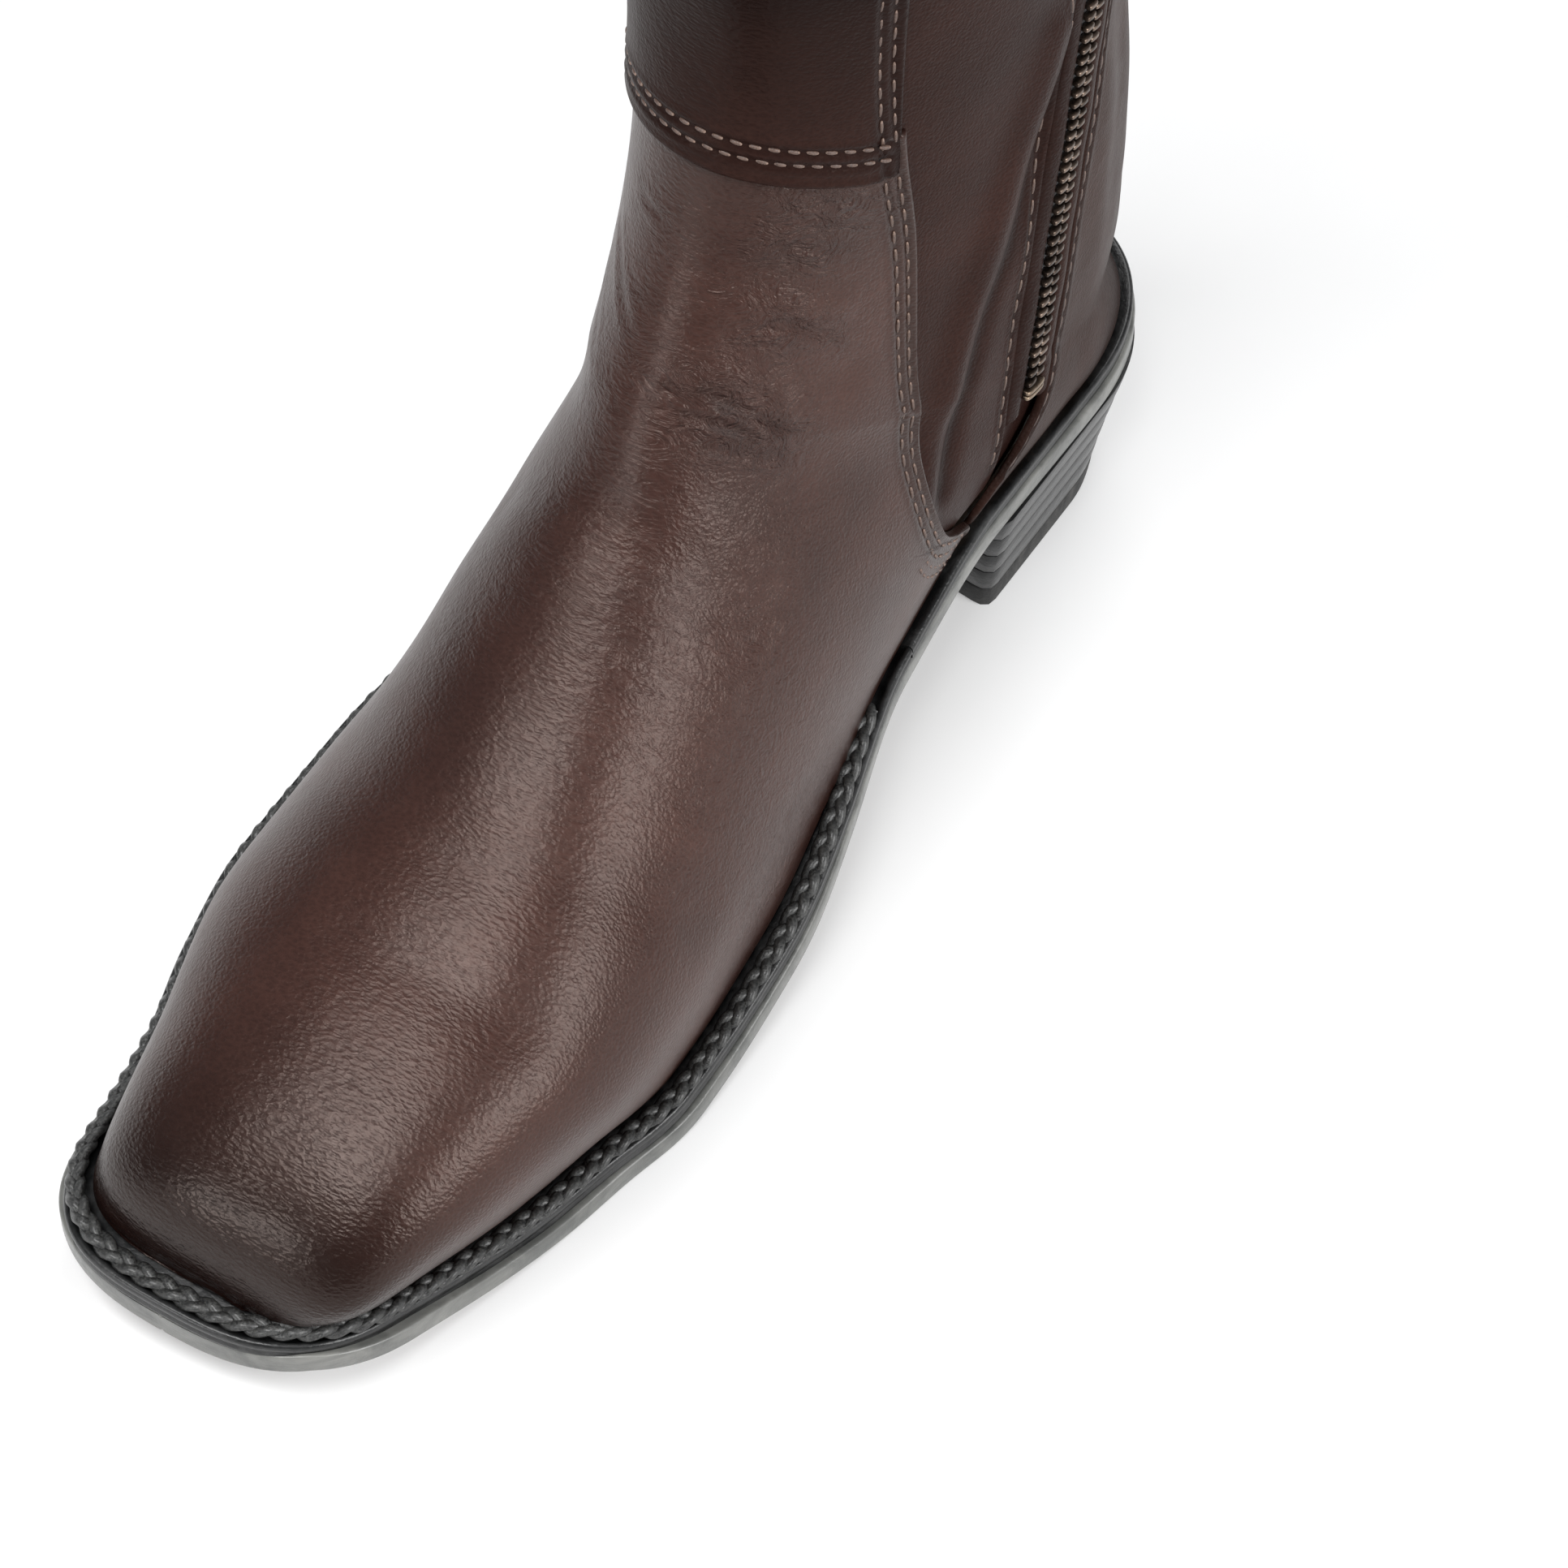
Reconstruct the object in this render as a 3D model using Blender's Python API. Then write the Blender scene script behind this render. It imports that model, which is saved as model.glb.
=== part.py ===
"""A western ankle boot for the right foot, with a welted leather sole, an elastic gore and an inside zip.

The boot stands on Z = 0. Its toe points to -Y and its inner (medial) side to +X, and the origin is the centre of
the heel's tread. Lengths are in millimetres here and become metres when a mesh is made.

The upper is drawn on one last surface. Planes through a pivot line in front of the shaft's top cut the last into
rows: closed ovals round the shaft, then ovals open at the feather line, where the upper meets the sole. A point
of the surface is (row, turn): row runs from the shaft's top (0) to the toe's tip (1), and turn from the inner
feather line (0) over the front ridge (0.5) to the outer one (1). Round the shaft, turns 0 and 1 meet at the back.
"""

import math

import bmesh
import bpy
import numpy as np

MM = 0.001
GAP = 0.3  # between touching pieces

# The last, seen from the side as (y, z), and its widths
PIVOT_Y, TOP_Z = -400.0, 280.0
TIP_Y, SEAT_Y, SEAT_Z = -256.0, 38.0, 42.0
FRONT_LINE = [(-92, TOP_Z), (-87, 230), (-86.5, 190), (-92, 158), (-103, 135), (-117, 116), (-134, 99.5), (-155, 85),
              (-178, 72.5), (-203, 62), (-228, 53.5), (-244, 46.5), (-253, 39), (-257, 30), (TIP_Y, 19.5)]
BACK_LINE = [(42, TOP_Z), (38, 220), (35, 160), (36, 125), (41, 95), (43.5, 72), (43, 55), (SEAT_Y, SEAT_Z)]
FEATHER_LINE = [(TIP_Y, 19.5), (-240, 15.5), (-215, 10.6), (-195, 8.6), (-176, 8.6), (-158, 10.7), (-130, 17.5),
                (-100, 27), (-70, 35), (-36, SEAT_Z), (SEAT_Y, SEAT_Z)]
FOOT_HALF = [(TIP_Y, 26.5), (-235, 31), (-210, 37), (-185, 43), (-165, 46.5), (-135, 45), (-105, 40), (-75, 34.5),
             (-40, 32), (0, 31.5), (SEAT_Y, 30)]
FOOT_CENTRE = [(TIP_Y, -7), (-210, -6), (-185, -7), (-165, -6.5), (-135, -5), (-105, -3), (-75, -2), (-40, -1), (0, 0)]
TOE_ROUND, TOE_POWER, HEEL_ROUND, HEEL_POWER = 22.0, 3.0, 36.0, 2.3
SECTION_HALF = [(0, 41.5), (8, 39.5), (16, 37.5), (23, 36.2), (29, 36), (34, 37), (38, 39), (43, 43.5), (47, 46.5),
                (50, 45.5), (54, 39.6), (58, 32.6), (62, 26.6)]
SECTION_POWER = [(0, 2.0), (28, 2.0), (36, 2.1), (44, 2.25), (52, 2.5), (58, 2.9), (62, 3.2)]
RIDGE_SHIFT = [(0, 0), (20, 0), (30, 1), (38, 3), (46, 7), (52, 7), (58, 4), (62, 2)]
SHAFT_SHARE = 0.4  # rows above the heel seat's rear
LINING_STEP = 0.35  # degrees between the shaft's lining and the vamp's

# Layers of the upper, measured outwards from the last surface, which is the vamp's outer face
OUTER = (-1.4, 0.0)
LAPPED = (0.5, 1.8)
MIDDLE = (-3.1, -2.3)
LINING = (-5.2, -4.3)

# Seams as seen from the side, (y, z)
FRONT_SEAM = [(-66, 290), (-66.5, 204), (-66, 167), (-64.5, 141), (-67, 106), (-67, 79), (-63, 63), (-57, 55.5),
              (-50, 50), (-47.5, 45), (-46, 38.3)]
CROSS_SEAM_SIDE_Z = 167.0
CROSS_SEAM_DROP = 0.004  # rows that the seam hangs lower at the ridge
REAR_SEAM_FOOT = [(-27.5, 66), (-33, 58), (-40, 52.5), (-45.2, 48.3), (-46, 45), (-44.6, 38.3)]
GORE_OUTLINE = [(-58, 290), (-58, 204), (-57, 150), (-56, 112), (-51, 92), (-44, 86), (-36, 92), (-29, 112),
                (-21, 150), (-10, 204), (0, 290)]
SCALLOP = 0.018  # rows that the top dips at its front and back

# Zip, a straight line on the inner side
ZIP_TOP = (6.0, 272.0)
ZIP_FOOT = (-29.8, 70.0)
ZIP_HALF = 5.8  # from the line to the panels' edges
CHAIN_HALF, CHAIN_THICK, TAPE_THICK = 2.9, 1.6, 0.6
SLIDER_LENGTH, SLIDER_HALF, SLIDER_START = 14.0, 4.4, 12.0
BRIDGE_REACH, BRIDGE_BAR, BRIDGE_HALF = 5.5, 1.2, 1.2
PULL_LENGTH, PULL_HALF, PULL_THICK = 30.0, 4.6, 1.2

# Sole
WELT_OUT, WAIST_OUT, HEEL_OUT = 7.5, 3.0, 3.0
WELT_THICK, SOLE_THICK, SOLE_GAP = 3.0, 4.7, 0.6
WELT_END_Y = -72.0
INSOLE_IN, INSOLE_THICK = 7.6, 3.0
HEEL_BREAST_Y, TREAD_REAR_Y, TREAD_FRONT_Y = -35.0, 31.0, -31.0
TREAD_HALF = 29.0
TOP_PIECE_THICK, LIFT_COUNT = 6.5, 4
NAIL_RADIUS, NAIL_HOLE, NAIL_TOP = 1.1, 1.5, 12.0
NAIL_PLACES = [(0, 22), (17, 12), (-17, 12), (19, -14), (-19, -14)]


def monotone(points):
    """A function that runs smoothly through (x, value) points without overshooting."""
    xs, ys = np.array(points, float).T
    step = np.diff(xs)
    slope = np.diff(ys) / step
    lean = np.zeros(len(xs))
    same = slope[:-1] * slope[1:] > 0
    lean[1:-1][same] = (2 * slope[:-1] * slope[1:] / (slope[:-1] + slope[1:] + 1e-12))[same]
    lean[0], lean[-1] = slope[0], slope[-1]

    def value(x):
        x = np.clip(np.asarray(x, float), xs[0], xs[-1])
        i = np.clip(np.searchsorted(xs, x) - 1, 0, len(step) - 1)
        t = (x - xs[i]) / step[i]
        start = (1 + 2 * t) * (1 - t) ** 2 * ys[i] + t * (1 - t) ** 2 * step[i] * lean[i]
        return start + t * t * (3 - 2 * t) * ys[i + 1] + t * t * (t - 1) * step[i] * lean[i + 1]

    return value


def curve_through(points, count):
    """count points, evenly spaced, on a Catmull-Rom curve through the given points."""
    p = np.array(points, float)
    p = np.vstack([2 * p[0] - p[1], p, 2 * p[-1] - p[-2]])
    t = np.linspace(0, 1, 40, endpoint=False)[:, None]
    runs = []
    for a, b, c, d in zip(p, p[1:], p[2:], p[3:]):
        runs.append(0.5 * (2 * b + (c - a) * t + (2 * a - 5 * b + 4 * c - d) * t**2 + (3 * b - a - 3 * c + d) * t**3))
    dense = np.vstack([*runs, p[-2:-1]])
    length = np.concatenate([[0], np.cumsum(np.linalg.norm(np.diff(dense, axis=0), axis=1))])
    wanted = np.linspace(0, length[-1], count)
    return np.stack([np.interp(wanted, length, dense[:, k]) for k in range(dense.shape[1])], axis=1)


feather_z = monotone(FEATHER_LINE)
foot_half = monotone(FOOT_HALF)
foot_centre = monotone(FOOT_CENTRE)


def toe_share(y):
    """How much of its full width the foot has at y, near the toe's blunt end."""
    return (1 - (1 - np.clip((y - TIP_Y) / TOE_ROUND, 0, 1)) ** TOE_POWER) ** (1 / TOE_POWER)


def heel_share(y):
    return (1 - (1 - np.clip((SEAT_Y - y) / HEEL_ROUND, 0, 1)) ** HEEL_POWER) ** (1 / HEEL_POWER)


def angle_of(y, z):
    """The angle, in degrees, of the plane through the pivot line and a point seen from the side."""
    return np.degrees(np.arctan2(TOP_Z - z, y - PIVOT_Y))


def foot_stations(count):
    """count values of y from the heel seat's rear to the toe's tip, evenly spaced round the feather line."""
    turn = np.linspace(0, math.pi, 4000)
    y = (SEAT_Y + TIP_Y) / 2 + (SEAT_Y - TIP_Y) / 2 * np.cos(turn)
    half = foot_half(y) * toe_share(y) * heel_share(y)
    length = np.concatenate([[0], np.cumsum(np.hypot(np.diff(y), np.diff(half)))])
    return np.interp(np.linspace(0, length[-1], count), length, y)


class Last:
    """The last surface as a fine table of points and outward normals."""

    ROWS, TURNS = 401, 241

    def __init__(self):
        shaft_rows = round((self.ROWS - 1) * SHAFT_SHARE)
        seat_angle = angle_of(SEAT_Y, SEAT_Z)
        y_foot = foot_stations(self.ROWS - shaft_rows)
        shaft = np.linspace(0, seat_angle, shaft_rows, endpoint=False)
        self.angles = np.concatenate([shaft, angle_of(y_foot, feather_z(y_foot))])
        self.rows = np.linspace(0, 1, self.ROWS)
        front = curve_through(FRONT_LINE, 1500)
        back = curve_through(BACK_LINE, 800)
        self.front = self.cut(front, self.angles)
        self.back = np.vstack([self.cut(back, shaft), np.stack([y_foot, feather_z(y_foot)], axis=1)])
        y_all = np.concatenate([np.full(shaft_rows, SEAT_Y), y_foot])
        toe = toe_share(y_all)
        edge = foot_half(y_all) * toe * heel_share(y_all)
        half = np.maximum(monotone(SECTION_HALF)(self.angles) * toe, edge * 1.02 + 0.01)
        power = monotone(SECTION_POWER)(self.angles)
        shift = monotone(RIDGE_SHIFT)(self.angles) * toe
        centre = foot_centre(y_all)
        steps = (self.TURNS + 1) // 2
        self.depth = np.zeros((self.ROWS, steps))
        self.points = np.zeros((self.ROWS, self.TURNS, 3))
        for i in range(self.ROWS):
            depth, side = self.half_section(half[i], edge[i], power[i], np.linalg.norm(self.back[i] - self.front[i]), steps)
            self.depth[i] = depth
            middle = depth * centre[i] + (1 - depth) * shift[i]
            line = self.front[i] + depth[:, None] * (self.back[i] - self.front[i])
            for sign, columns in ((1, steps - 1 - np.arange(steps)), (-1, steps - 1 + np.arange(steps))):
                self.points[i, columns, 0] = middle + sign * side
                self.points[i, columns, 1:] = line
        along = np.gradient(self.points, axis=0)
        across = np.gradient(self.points, axis=1)
        across[:shaft_rows, 0] = across[:shaft_rows, -1] = self.points[:shaft_rows, 1] - self.points[:shaft_rows, -2]
        normals = np.cross(along, across)
        self.normals = normals / (np.linalg.norm(normals, axis=2, keepdims=True) + 1e-9)
        if self.normals[0, (self.TURNS - 1) // 2, 1] > 0:
            self.normals = -self.normals

    @staticmethod
    def cut(line, angles):
        """Where planes at these angles cut a line seen from the side."""
        found = angle_of(line[:, 0], line[:, 1])
        return np.stack([np.interp(angles, found, line[:, k]) for k in (0, 1)], axis=1)

    @staticmethod
    def half_section(half, edge, power, length, steps):
        """(depth from the ridge, half width) along one side of a section, evenly spaced; edge is its width at the end."""
        end = math.pi - math.asin(min(1, edge / half) ** (power / 2))
        turn = np.linspace(0, end, 500)
        depth = 0.5 * (1 - np.sign(np.cos(turn)) * np.abs(np.cos(turn)) ** (2 / power))
        side = half * np.abs(np.sin(turn)) ** (2 / power)
        depth /= depth[-1]
        side[-1] = edge
        run = np.concatenate([[0], np.cumsum(np.hypot(np.diff(depth) * length, np.diff(side)))])
        wanted = np.linspace(0, run[-1] if run[-1] > 0 else 1, steps)
        if run[-1] <= 0:
            run = np.linspace(0, 1, 500)
        return np.interp(wanted, run, depth), np.interp(wanted, run, side)

    def look_up(self, table, row, turn):
        i = np.clip(row, 0, 1) * (self.ROWS - 1)
        j = np.clip(turn, 0, 1) * (self.TURNS - 1)
        i0 = np.minimum(i.astype(int), self.ROWS - 2)
        j0 = np.minimum(j.astype(int), self.TURNS - 2)
        fi, fj = (i - i0)[..., None], (j - j0)[..., None]
        near = table[i0, j0] * (1 - fj) + table[i0, j0 + 1] * fj
        far = table[i0 + 1, j0] * (1 - fj) + table[i0 + 1, j0 + 1] * fj
        return near * (1 - fi) + far * fi

    def at(self, row, turn, offset=0.0):
        """Points of the surface, moved outwards by offset. A turn below 0 or above 1 goes on round the shaft's back."""
        row, turn = np.broadcast_arrays(np.asarray(row, float), np.asarray(turn, float))
        turn = np.where(turn < 0, turn + 1, np.where(turn > 1, turn - 1, turn))
        normal = self.look_up(self.normals, row, turn)
        normal = normal / np.linalg.norm(normal, axis=-1, keepdims=True)
        return self.look_up(self.points, row, turn) + normal * np.asarray(offset, float)[..., None]

    def place(self, line, side):
        """(row, turn) of points seen from the side, on the inner (+1) or outer (-1) side."""
        line = np.asarray(line, float)
        angle = angle_of(line[:, 0], line[:, 1])
        row = np.interp(angle, self.angles, self.rows)
        front = np.stack([np.interp(angle, self.angles, self.front[:, k]) for k in (0, 1)], axis=1)
        back = np.stack([np.interp(angle, self.angles, self.back[:, k]) for k in (0, 1)], axis=1)
        depth = ((line - front) * (back - front)).sum(1) / ((back - front) ** 2).sum(1)
        steps = self.depth.shape[1]
        nearest = np.clip(np.rint(row * (self.ROWS - 1)).astype(int), 0, self.ROWS - 1)
        out = [np.interp(d, self.depth[i], np.linspace(0, 0.5, steps)) for d, i in zip(depth, nearest)]
        return row, 0.5 - side * np.array(out)


QUARTER_SHARES = np.linspace(0, 0.978, 15)
QUARTER_COLUMNS = 9
last = Last()
SEAT_ROW = float(np.interp(angle_of(SEAT_Y, SEAT_Z), last.angles, last.rows))


def top_row(turn):
    """The shaft's top edge: full height at the sides, lower at its front and back."""
    return SCALLOP * np.cos(2 * math.pi * (turn - 0.5)) ** 2


# ---------------------------------------------------------------------------------------------- meshes and materials


def material(name, colour, roughness, metallic=0.0):
    made = bpy.data.materials.get(name) or bpy.data.materials.new(name)
    made.use_nodes = True
    shader = made.node_tree.nodes["Principled BSDF"]
    shader.inputs["Base Color"].default_value = (*colour, 1.0)
    shader.inputs["Roughness"].default_value = roughness
    shader.inputs["Metallic"].default_value = metallic
    made.diffuse_color = (*colour, 1.0)
    return made


def brown_leather():
    return material("brown_leather", (0.085, 0.045, 0.037), 0.38)


def dark_leather():
    return material("dark_leather", (0.045, 0.026, 0.022), 0.42)


def lining_leather():
    return material("lining_leather", (0.33, 0.22, 0.14), 0.7)


def stiffener():
    return material("stiffener", (0.42, 0.36, 0.28), 0.85)


def black_leather():
    return material("black_leather", (0.016, 0.016, 0.017), 0.3)


def sole_leather():
    return material("sole_leather", (0.05, 0.045, 0.042), 0.45)


def cork():
    return material("cork", (0.36, 0.22, 0.12), 0.9)


def steel():
    return material("steel", (0.5, 0.5, 0.5), 0.35, 1.0)


def elastic():
    return material("elastic", (0.035, 0.024, 0.022), 0.8)


def thread():
    return material("thread", (0.12, 0.075, 0.05), 0.6)


def zip_cloth():
    return material("zip_cloth", (0.02, 0.018, 0.018), 0.8)


def zip_metal():
    return material("zip_metal", (0.33, 0.29, 0.22), 0.3, 1.0)


def rubber():
    return material("rubber", (0.02, 0.02, 0.02), 0.6)


def add_object(name, data, finish):
    data.materials.append(finish)
    obj = bpy.data.objects.new(name, data)
    bpy.context.scene.collection.objects.link(obj)
    return obj


def add_mesh(name, points, faces, finish):
    """One closed mesh from points in millimetres, with doubled points made one and its faces turned outwards."""
    mesh = bpy.data.meshes.new(name)
    mesh.from_pydata((np.asarray(points) * MM).tolist(), [], [list(map(int, f)) for f in faces])
    work = bmesh.new()
    work.from_mesh(mesh)
    bmesh.ops.remove_doubles(work, verts=work.verts, dist=1e-6)
    bmesh.ops.recalc_face_normals(work, faces=work.faces)
    work.to_mesh(mesh)
    work.free()
    mesh.shade_smooth()
    mesh.set_sharp_from_angle(angle=math.radians(35))
    return add_object(name, mesh, finish)


def grid_solid(name, low, high, finish):
    """The closed solid between two grids of points of the same size."""
    rows, columns = low.shape[:2]
    count = rows * columns
    index = np.arange(count).reshape(rows, columns)
    first = np.stack([index[:-1, :-1], index[:-1, 1:], index[1:, 1:]], axis=-1).reshape(-1, 3)
    second = np.stack([index[:-1, :-1], index[1:, 1:], index[1:, :-1]], axis=-1).reshape(-1, 3)
    halves = np.vstack([first, second])
    rim = np.concatenate([index[0, :-1], index[:-1, -1], index[-1, :0:-1], index[:0:-1, 0]])
    after = np.roll(rim, -1)
    walls = np.stack([rim, after, after + count, rim + count], axis=-1)
    faces = [*halves[:, ::-1], *(halves + count), *walls]
    return add_mesh(name, np.vstack([low.reshape(-1, 3), high.reshape(-1, 3)]), faces, finish)


def panel(name, row, turn, layer, finish):
    """A piece of the upper: a grid of (row, turn) made as thick as its layer."""
    return grid_solid(name, last.at(row, turn, layer[0]), last.at(row, turn, layer[1]), finish)


def tube(name, points, radius, finish, resolution=0):
    """A round strand along points, as a curve with filled ends."""
    data = bpy.data.curves.new(name, "CURVE")
    data.dimensions = "3D"
    data.bevel_depth = radius * MM
    data.bevel_resolution = resolution
    data.use_fill_caps = True
    line = data.splines.new("POLY")
    line.points.add(len(points) - 1)
    for point, place in zip(line.points, np.asarray(points) * MM):
        point.co = (*place, 1.0)
    return add_object(name, data, finish)


def prism(name, outline, low, high, finish):
    """An upright prism on a closed plan outline."""
    count = len(outline)
    points = [(x, y, z) for z in (low, high) for x, y in outline]
    faces = [list(range(count))[::-1], list(range(count, 2 * count))]
    faces += [[k, (k + 1) % count, (k + 1) % count + count, k + count] for k in range(count)]
    return add_mesh(name, points, faces, finish)


# --------------------------------------------------------------------------------------------------------- the upper


def crowded(count):
    """Shares from 0 to 1 that lie closer together in the middle, where a section bends most."""
    share = np.linspace(-1, 1, count)
    return 0.5 + 0.5 * share * (0.6 + 0.4 * share**2)


def seam_rows(line, side, count):
    """count (row, turn) places along a line seen from the side, without what lies above the shaft's top."""
    row, turn = last.place(curve_through(line, 400), side)
    below = row > top_row(turn) + 1e-4
    row, turn = row[below], turn[below]
    spaced = np.linspace(0, 1, count)
    source = np.linspace(0, 1, len(row))
    return np.interp(spaced, source, row), np.interp(spaced, source, turn)


def front_edge(side):
    """The front seam as a function from row to turn, with its end on the feather line."""
    row, turn = last.place(curve_through(FRONT_SEAM, 240), side)
    row = np.maximum.accumulate(row + np.arange(len(row)) * 1e-7)
    return lambda r: np.clip(np.where(r > row[-1], 0.5 - side * 0.5, np.interp(r, row, turn)), 0.004, 0.996)


inner_front, outer_front = front_edge(1), front_edge(-1)


def cross_row(turn):
    """The seam across the instep, which hangs a little lower at the ridge."""
    side_row = last.place([(FRONT_SEAM[2][0], CROSS_SEAM_SIDE_Z)], 1)[0][0]
    return side_row + CROSS_SEAM_DROP * np.cos(math.pi * np.clip((turn - 0.5) / 0.24, -1, 1) / 2)


def make_front_panel():
    share, across = np.meshgrid(np.linspace(0, 1, 8), np.linspace(0, 1, 13), indexing="ij")
    guess = share * 0.24
    turn = inner_front(guess) + across * (outer_front(guess) - inner_front(guess))
    row = top_row(turn) + share * (cross_row(turn) + 0.012 - top_row(turn))
    panel("front_panel", row, turn, LAPPED, brown_leather())


def make_vamp():
    start = float(cross_row(np.array(0.5))) - 0.012
    rows = np.concatenate([np.linspace(start, 0.53, 12), np.linspace(0.55, 0.9, 10), np.linspace(0.92, 0.988, 6)])
    row, across = np.meshgrid(rows, crowded(21), indexing="ij")
    turn = inner_front(row) + across * (outer_front(row) - inner_front(row))
    panel("vamp", row, turn, OUTER, brown_leather())


def beside_zip(reach):
    """Points of a line seen from the side that runs along the zip, reach behind it."""
    lean = (ZIP_TOP[0] - ZIP_FOOT[0]) / (ZIP_TOP[1] - ZIP_FOOT[1])
    return [(ZIP_FOOT[0] + (z - ZIP_FOOT[1]) * lean + reach, z) for z in np.linspace(TOP_Z + 8, ZIP_FOOT[1] + 2, 5)]


def rear_edge(side):
    """The quarter's front edge from the shaft's top to the feather line, as seen from the side."""
    return seam_rows([*beside_zip(ZIP_HALF + 0.8), *REAR_SEAM_FOOT[1:]], side, 24)


def back_wrap(share, row_edge, turn_edge, side, across):
    """(row, turn) between the centre of the back and an edge on one side, for one set of shares down the boot."""
    turn_back = 0.5 - side * 0.5
    row = share[:, None] * SEAT_ROW * (1 - across) + row_edge[:, None] * across
    return row, turn_back * (1 - across) + turn_edge[:, None] * across


def wrap_grid(name_rows, columns, reach=1.0):
    """(row, turn) of a piece that wraps round the back from one rear edge to the other."""
    parts = []
    for side in (-1, 1):
        row, turn = rear_edge(side)
        source = np.linspace(0, 1, len(row))
        row, turn = np.interp(name_rows, source, row), np.interp(name_rows, source, turn)
        across = np.linspace(reach, 0, columns) if side < 0 else np.linspace(0, reach, columns)
        parts.append(back_wrap(name_rows, row, turn, side, across[None, :]))
    row = np.hstack([parts[0][0], parts[1][0][:, 1:]])
    turn = np.hstack([parts[0][1], parts[1][1][:, 1:]])
    return row, turn


def make_quarter():
    row, turn = wrap_grid(QUARTER_SHARES, QUARTER_COLUMNS)
    row = np.maximum(row, top_row(turn))
    panel("quarter", row, turn, OUTER, brown_leather())


def make_heel_counter():
    row, turn = wrap_grid(QUARTER_SHARES[-5:-1], QUARTER_COLUMNS - 1, 1 - 1 / (QUARTER_COLUMNS - 1))
    panel("heel_counter", row, turn, (MIDDLE[0] + 0.1, MIDDLE[1] - 0.25), stiffener())


def make_toe_puff():
    rows = np.concatenate([[0.83, 0.865, 0.9], np.linspace(0.92, 0.98, 5)])
    row, turn = np.meshgrid(rows, 0.02 + 0.96 * crowded(19), indexing="ij")
    panel("toe_puff", row, turn, MIDDLE, stiffener())


def make_linings():
    share, turn = np.meshgrid(np.linspace(0, 1, 10), np.linspace(0.002, 0.998, 29), indexing="ij")
    turn = turn - 0.4 * np.sin(4 * math.pi * turn) / (4 * math.pi)
    row = top_row(turn) + share * (SEAT_ROW - 0.006 - top_row(turn))
    panel("shaft_lining", row, turn, LINING, lining_leather())
    start = float(np.interp(angle_of(SEAT_Y, SEAT_Z) + LINING_STEP, last.angles, last.rows))
    rows = np.concatenate([np.linspace(start, 0.52, 6), np.linspace(0.55, 0.9, 10), np.linspace(0.92, 0.98, 5)])
    row, turn = np.meshgrid(rows, crowded(19), indexing="ij")
    panel("vamp_lining", row, turn, LINING, lining_leather())





def make_medial_gusset():
    lap = 4.0
    front = [(y - lap, z) for y, z in FRONT_SEAM[:6]] + [(-62, 60), (-56, 52)]
    left_row, left_turn = seam_rows(front, 1, 17)
    right_row, right_turn = seam_rows([*beside_zip(-ZIP_HALF - 0.8), (-39, 56), (-42, 51)], 1, 17)
    across = np.linspace(0, 1, 6)[None, :]
    row = left_row[:, None] * (1 - across) + right_row[:, None] * across
    turn = left_turn[:, None] * (1 - across) + right_turn[:, None] * across
    panel("medial_gusset", np.maximum(row, top_row(turn)), turn, MIDDLE, brown_leather())


def make_lateral_side():
    """The leather surround of the elastic, as a band bent into a U, and the elastic inside it."""
    lap = 4.0
    rear = [(ZIP_TOP[0] + 14, TOP_Z + 8), (-10, 150), (-18, 100), (-26, 72)]
    outer = [(y - lap, z) for y, z in FRONT_SEAM[:6]] + [(-63, 62), (-54, 52), (-42, 51), (-32, 59)] + rear[::-1]
    out_row, out_turn = seam_rows(outer, -1, 41)
    in_row, in_turn = seam_rows(GORE_OUTLINE, -1, 41)
    across = np.linspace(0, 1, 3)[None, :]
    row = out_row[:, None] * (1 - across) + in_row[:, None] * across
    turn = out_turn[:, None] * (1 - across) + in_turn[:, None] * across
    panel("lateral_gusset", np.maximum(row, top_row(turn)), turn, MIDDLE, brown_leather())
    shrink = [(y + (1.0 if k < 5 else -1.0 if k > 5 else 0), z + (1.0 if 2 < k < 8 else 0))
              for k, (y, z) in enumerate(GORE_OUTLINE)]
    row, turn = seam_rows(shrink, -1, 41)
    across = np.linspace(0, 1, 5)[None, :]
    left_row, left_turn = row[:20], turn[:20]
    right_row, right_turn = row[:20:-1], turn[:20:-1]
    row = left_row[:, None] * (1 - across) + right_row[:, None] * across
    turn = left_turn[:, None] * (1 - across) + right_turn[:, None] * across
    panel("lateral_gore", np.maximum(row, top_row(turn)), turn, MIDDLE, elastic())


def make_top_binding():
    """A strip round the shaft's mouth, over the edges of the leather and the lining."""
    turn = np.linspace(0, 1, 33)[:-1]
    row = top_row(turn)
    ahead = last.at(row, turn) - last.at(row + 0.01, turn)
    up = ahead / np.linalg.norm(ahead, axis=1, keepdims=True)
    rings = [last.at(row, turn, out) + up * rise
             for out, rise in ((-4.8, 0.5), (1.9, 0.5), (1.9, 2.6), (0.6, 3.6), (-3.6, 3.6), (-4.8, 2.6))]
    count, sides = len(turn), len(rings)
    faces = [(k * count + j, k * count + (j + 1) % count, (k + 1) % sides * count + (j + 1) % count,
              (k + 1) % sides * count + j) for k in range(sides) for j in range(count)]
    add_mesh("top_binding", np.vstack(rings), faces, dark_leather())


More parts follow.
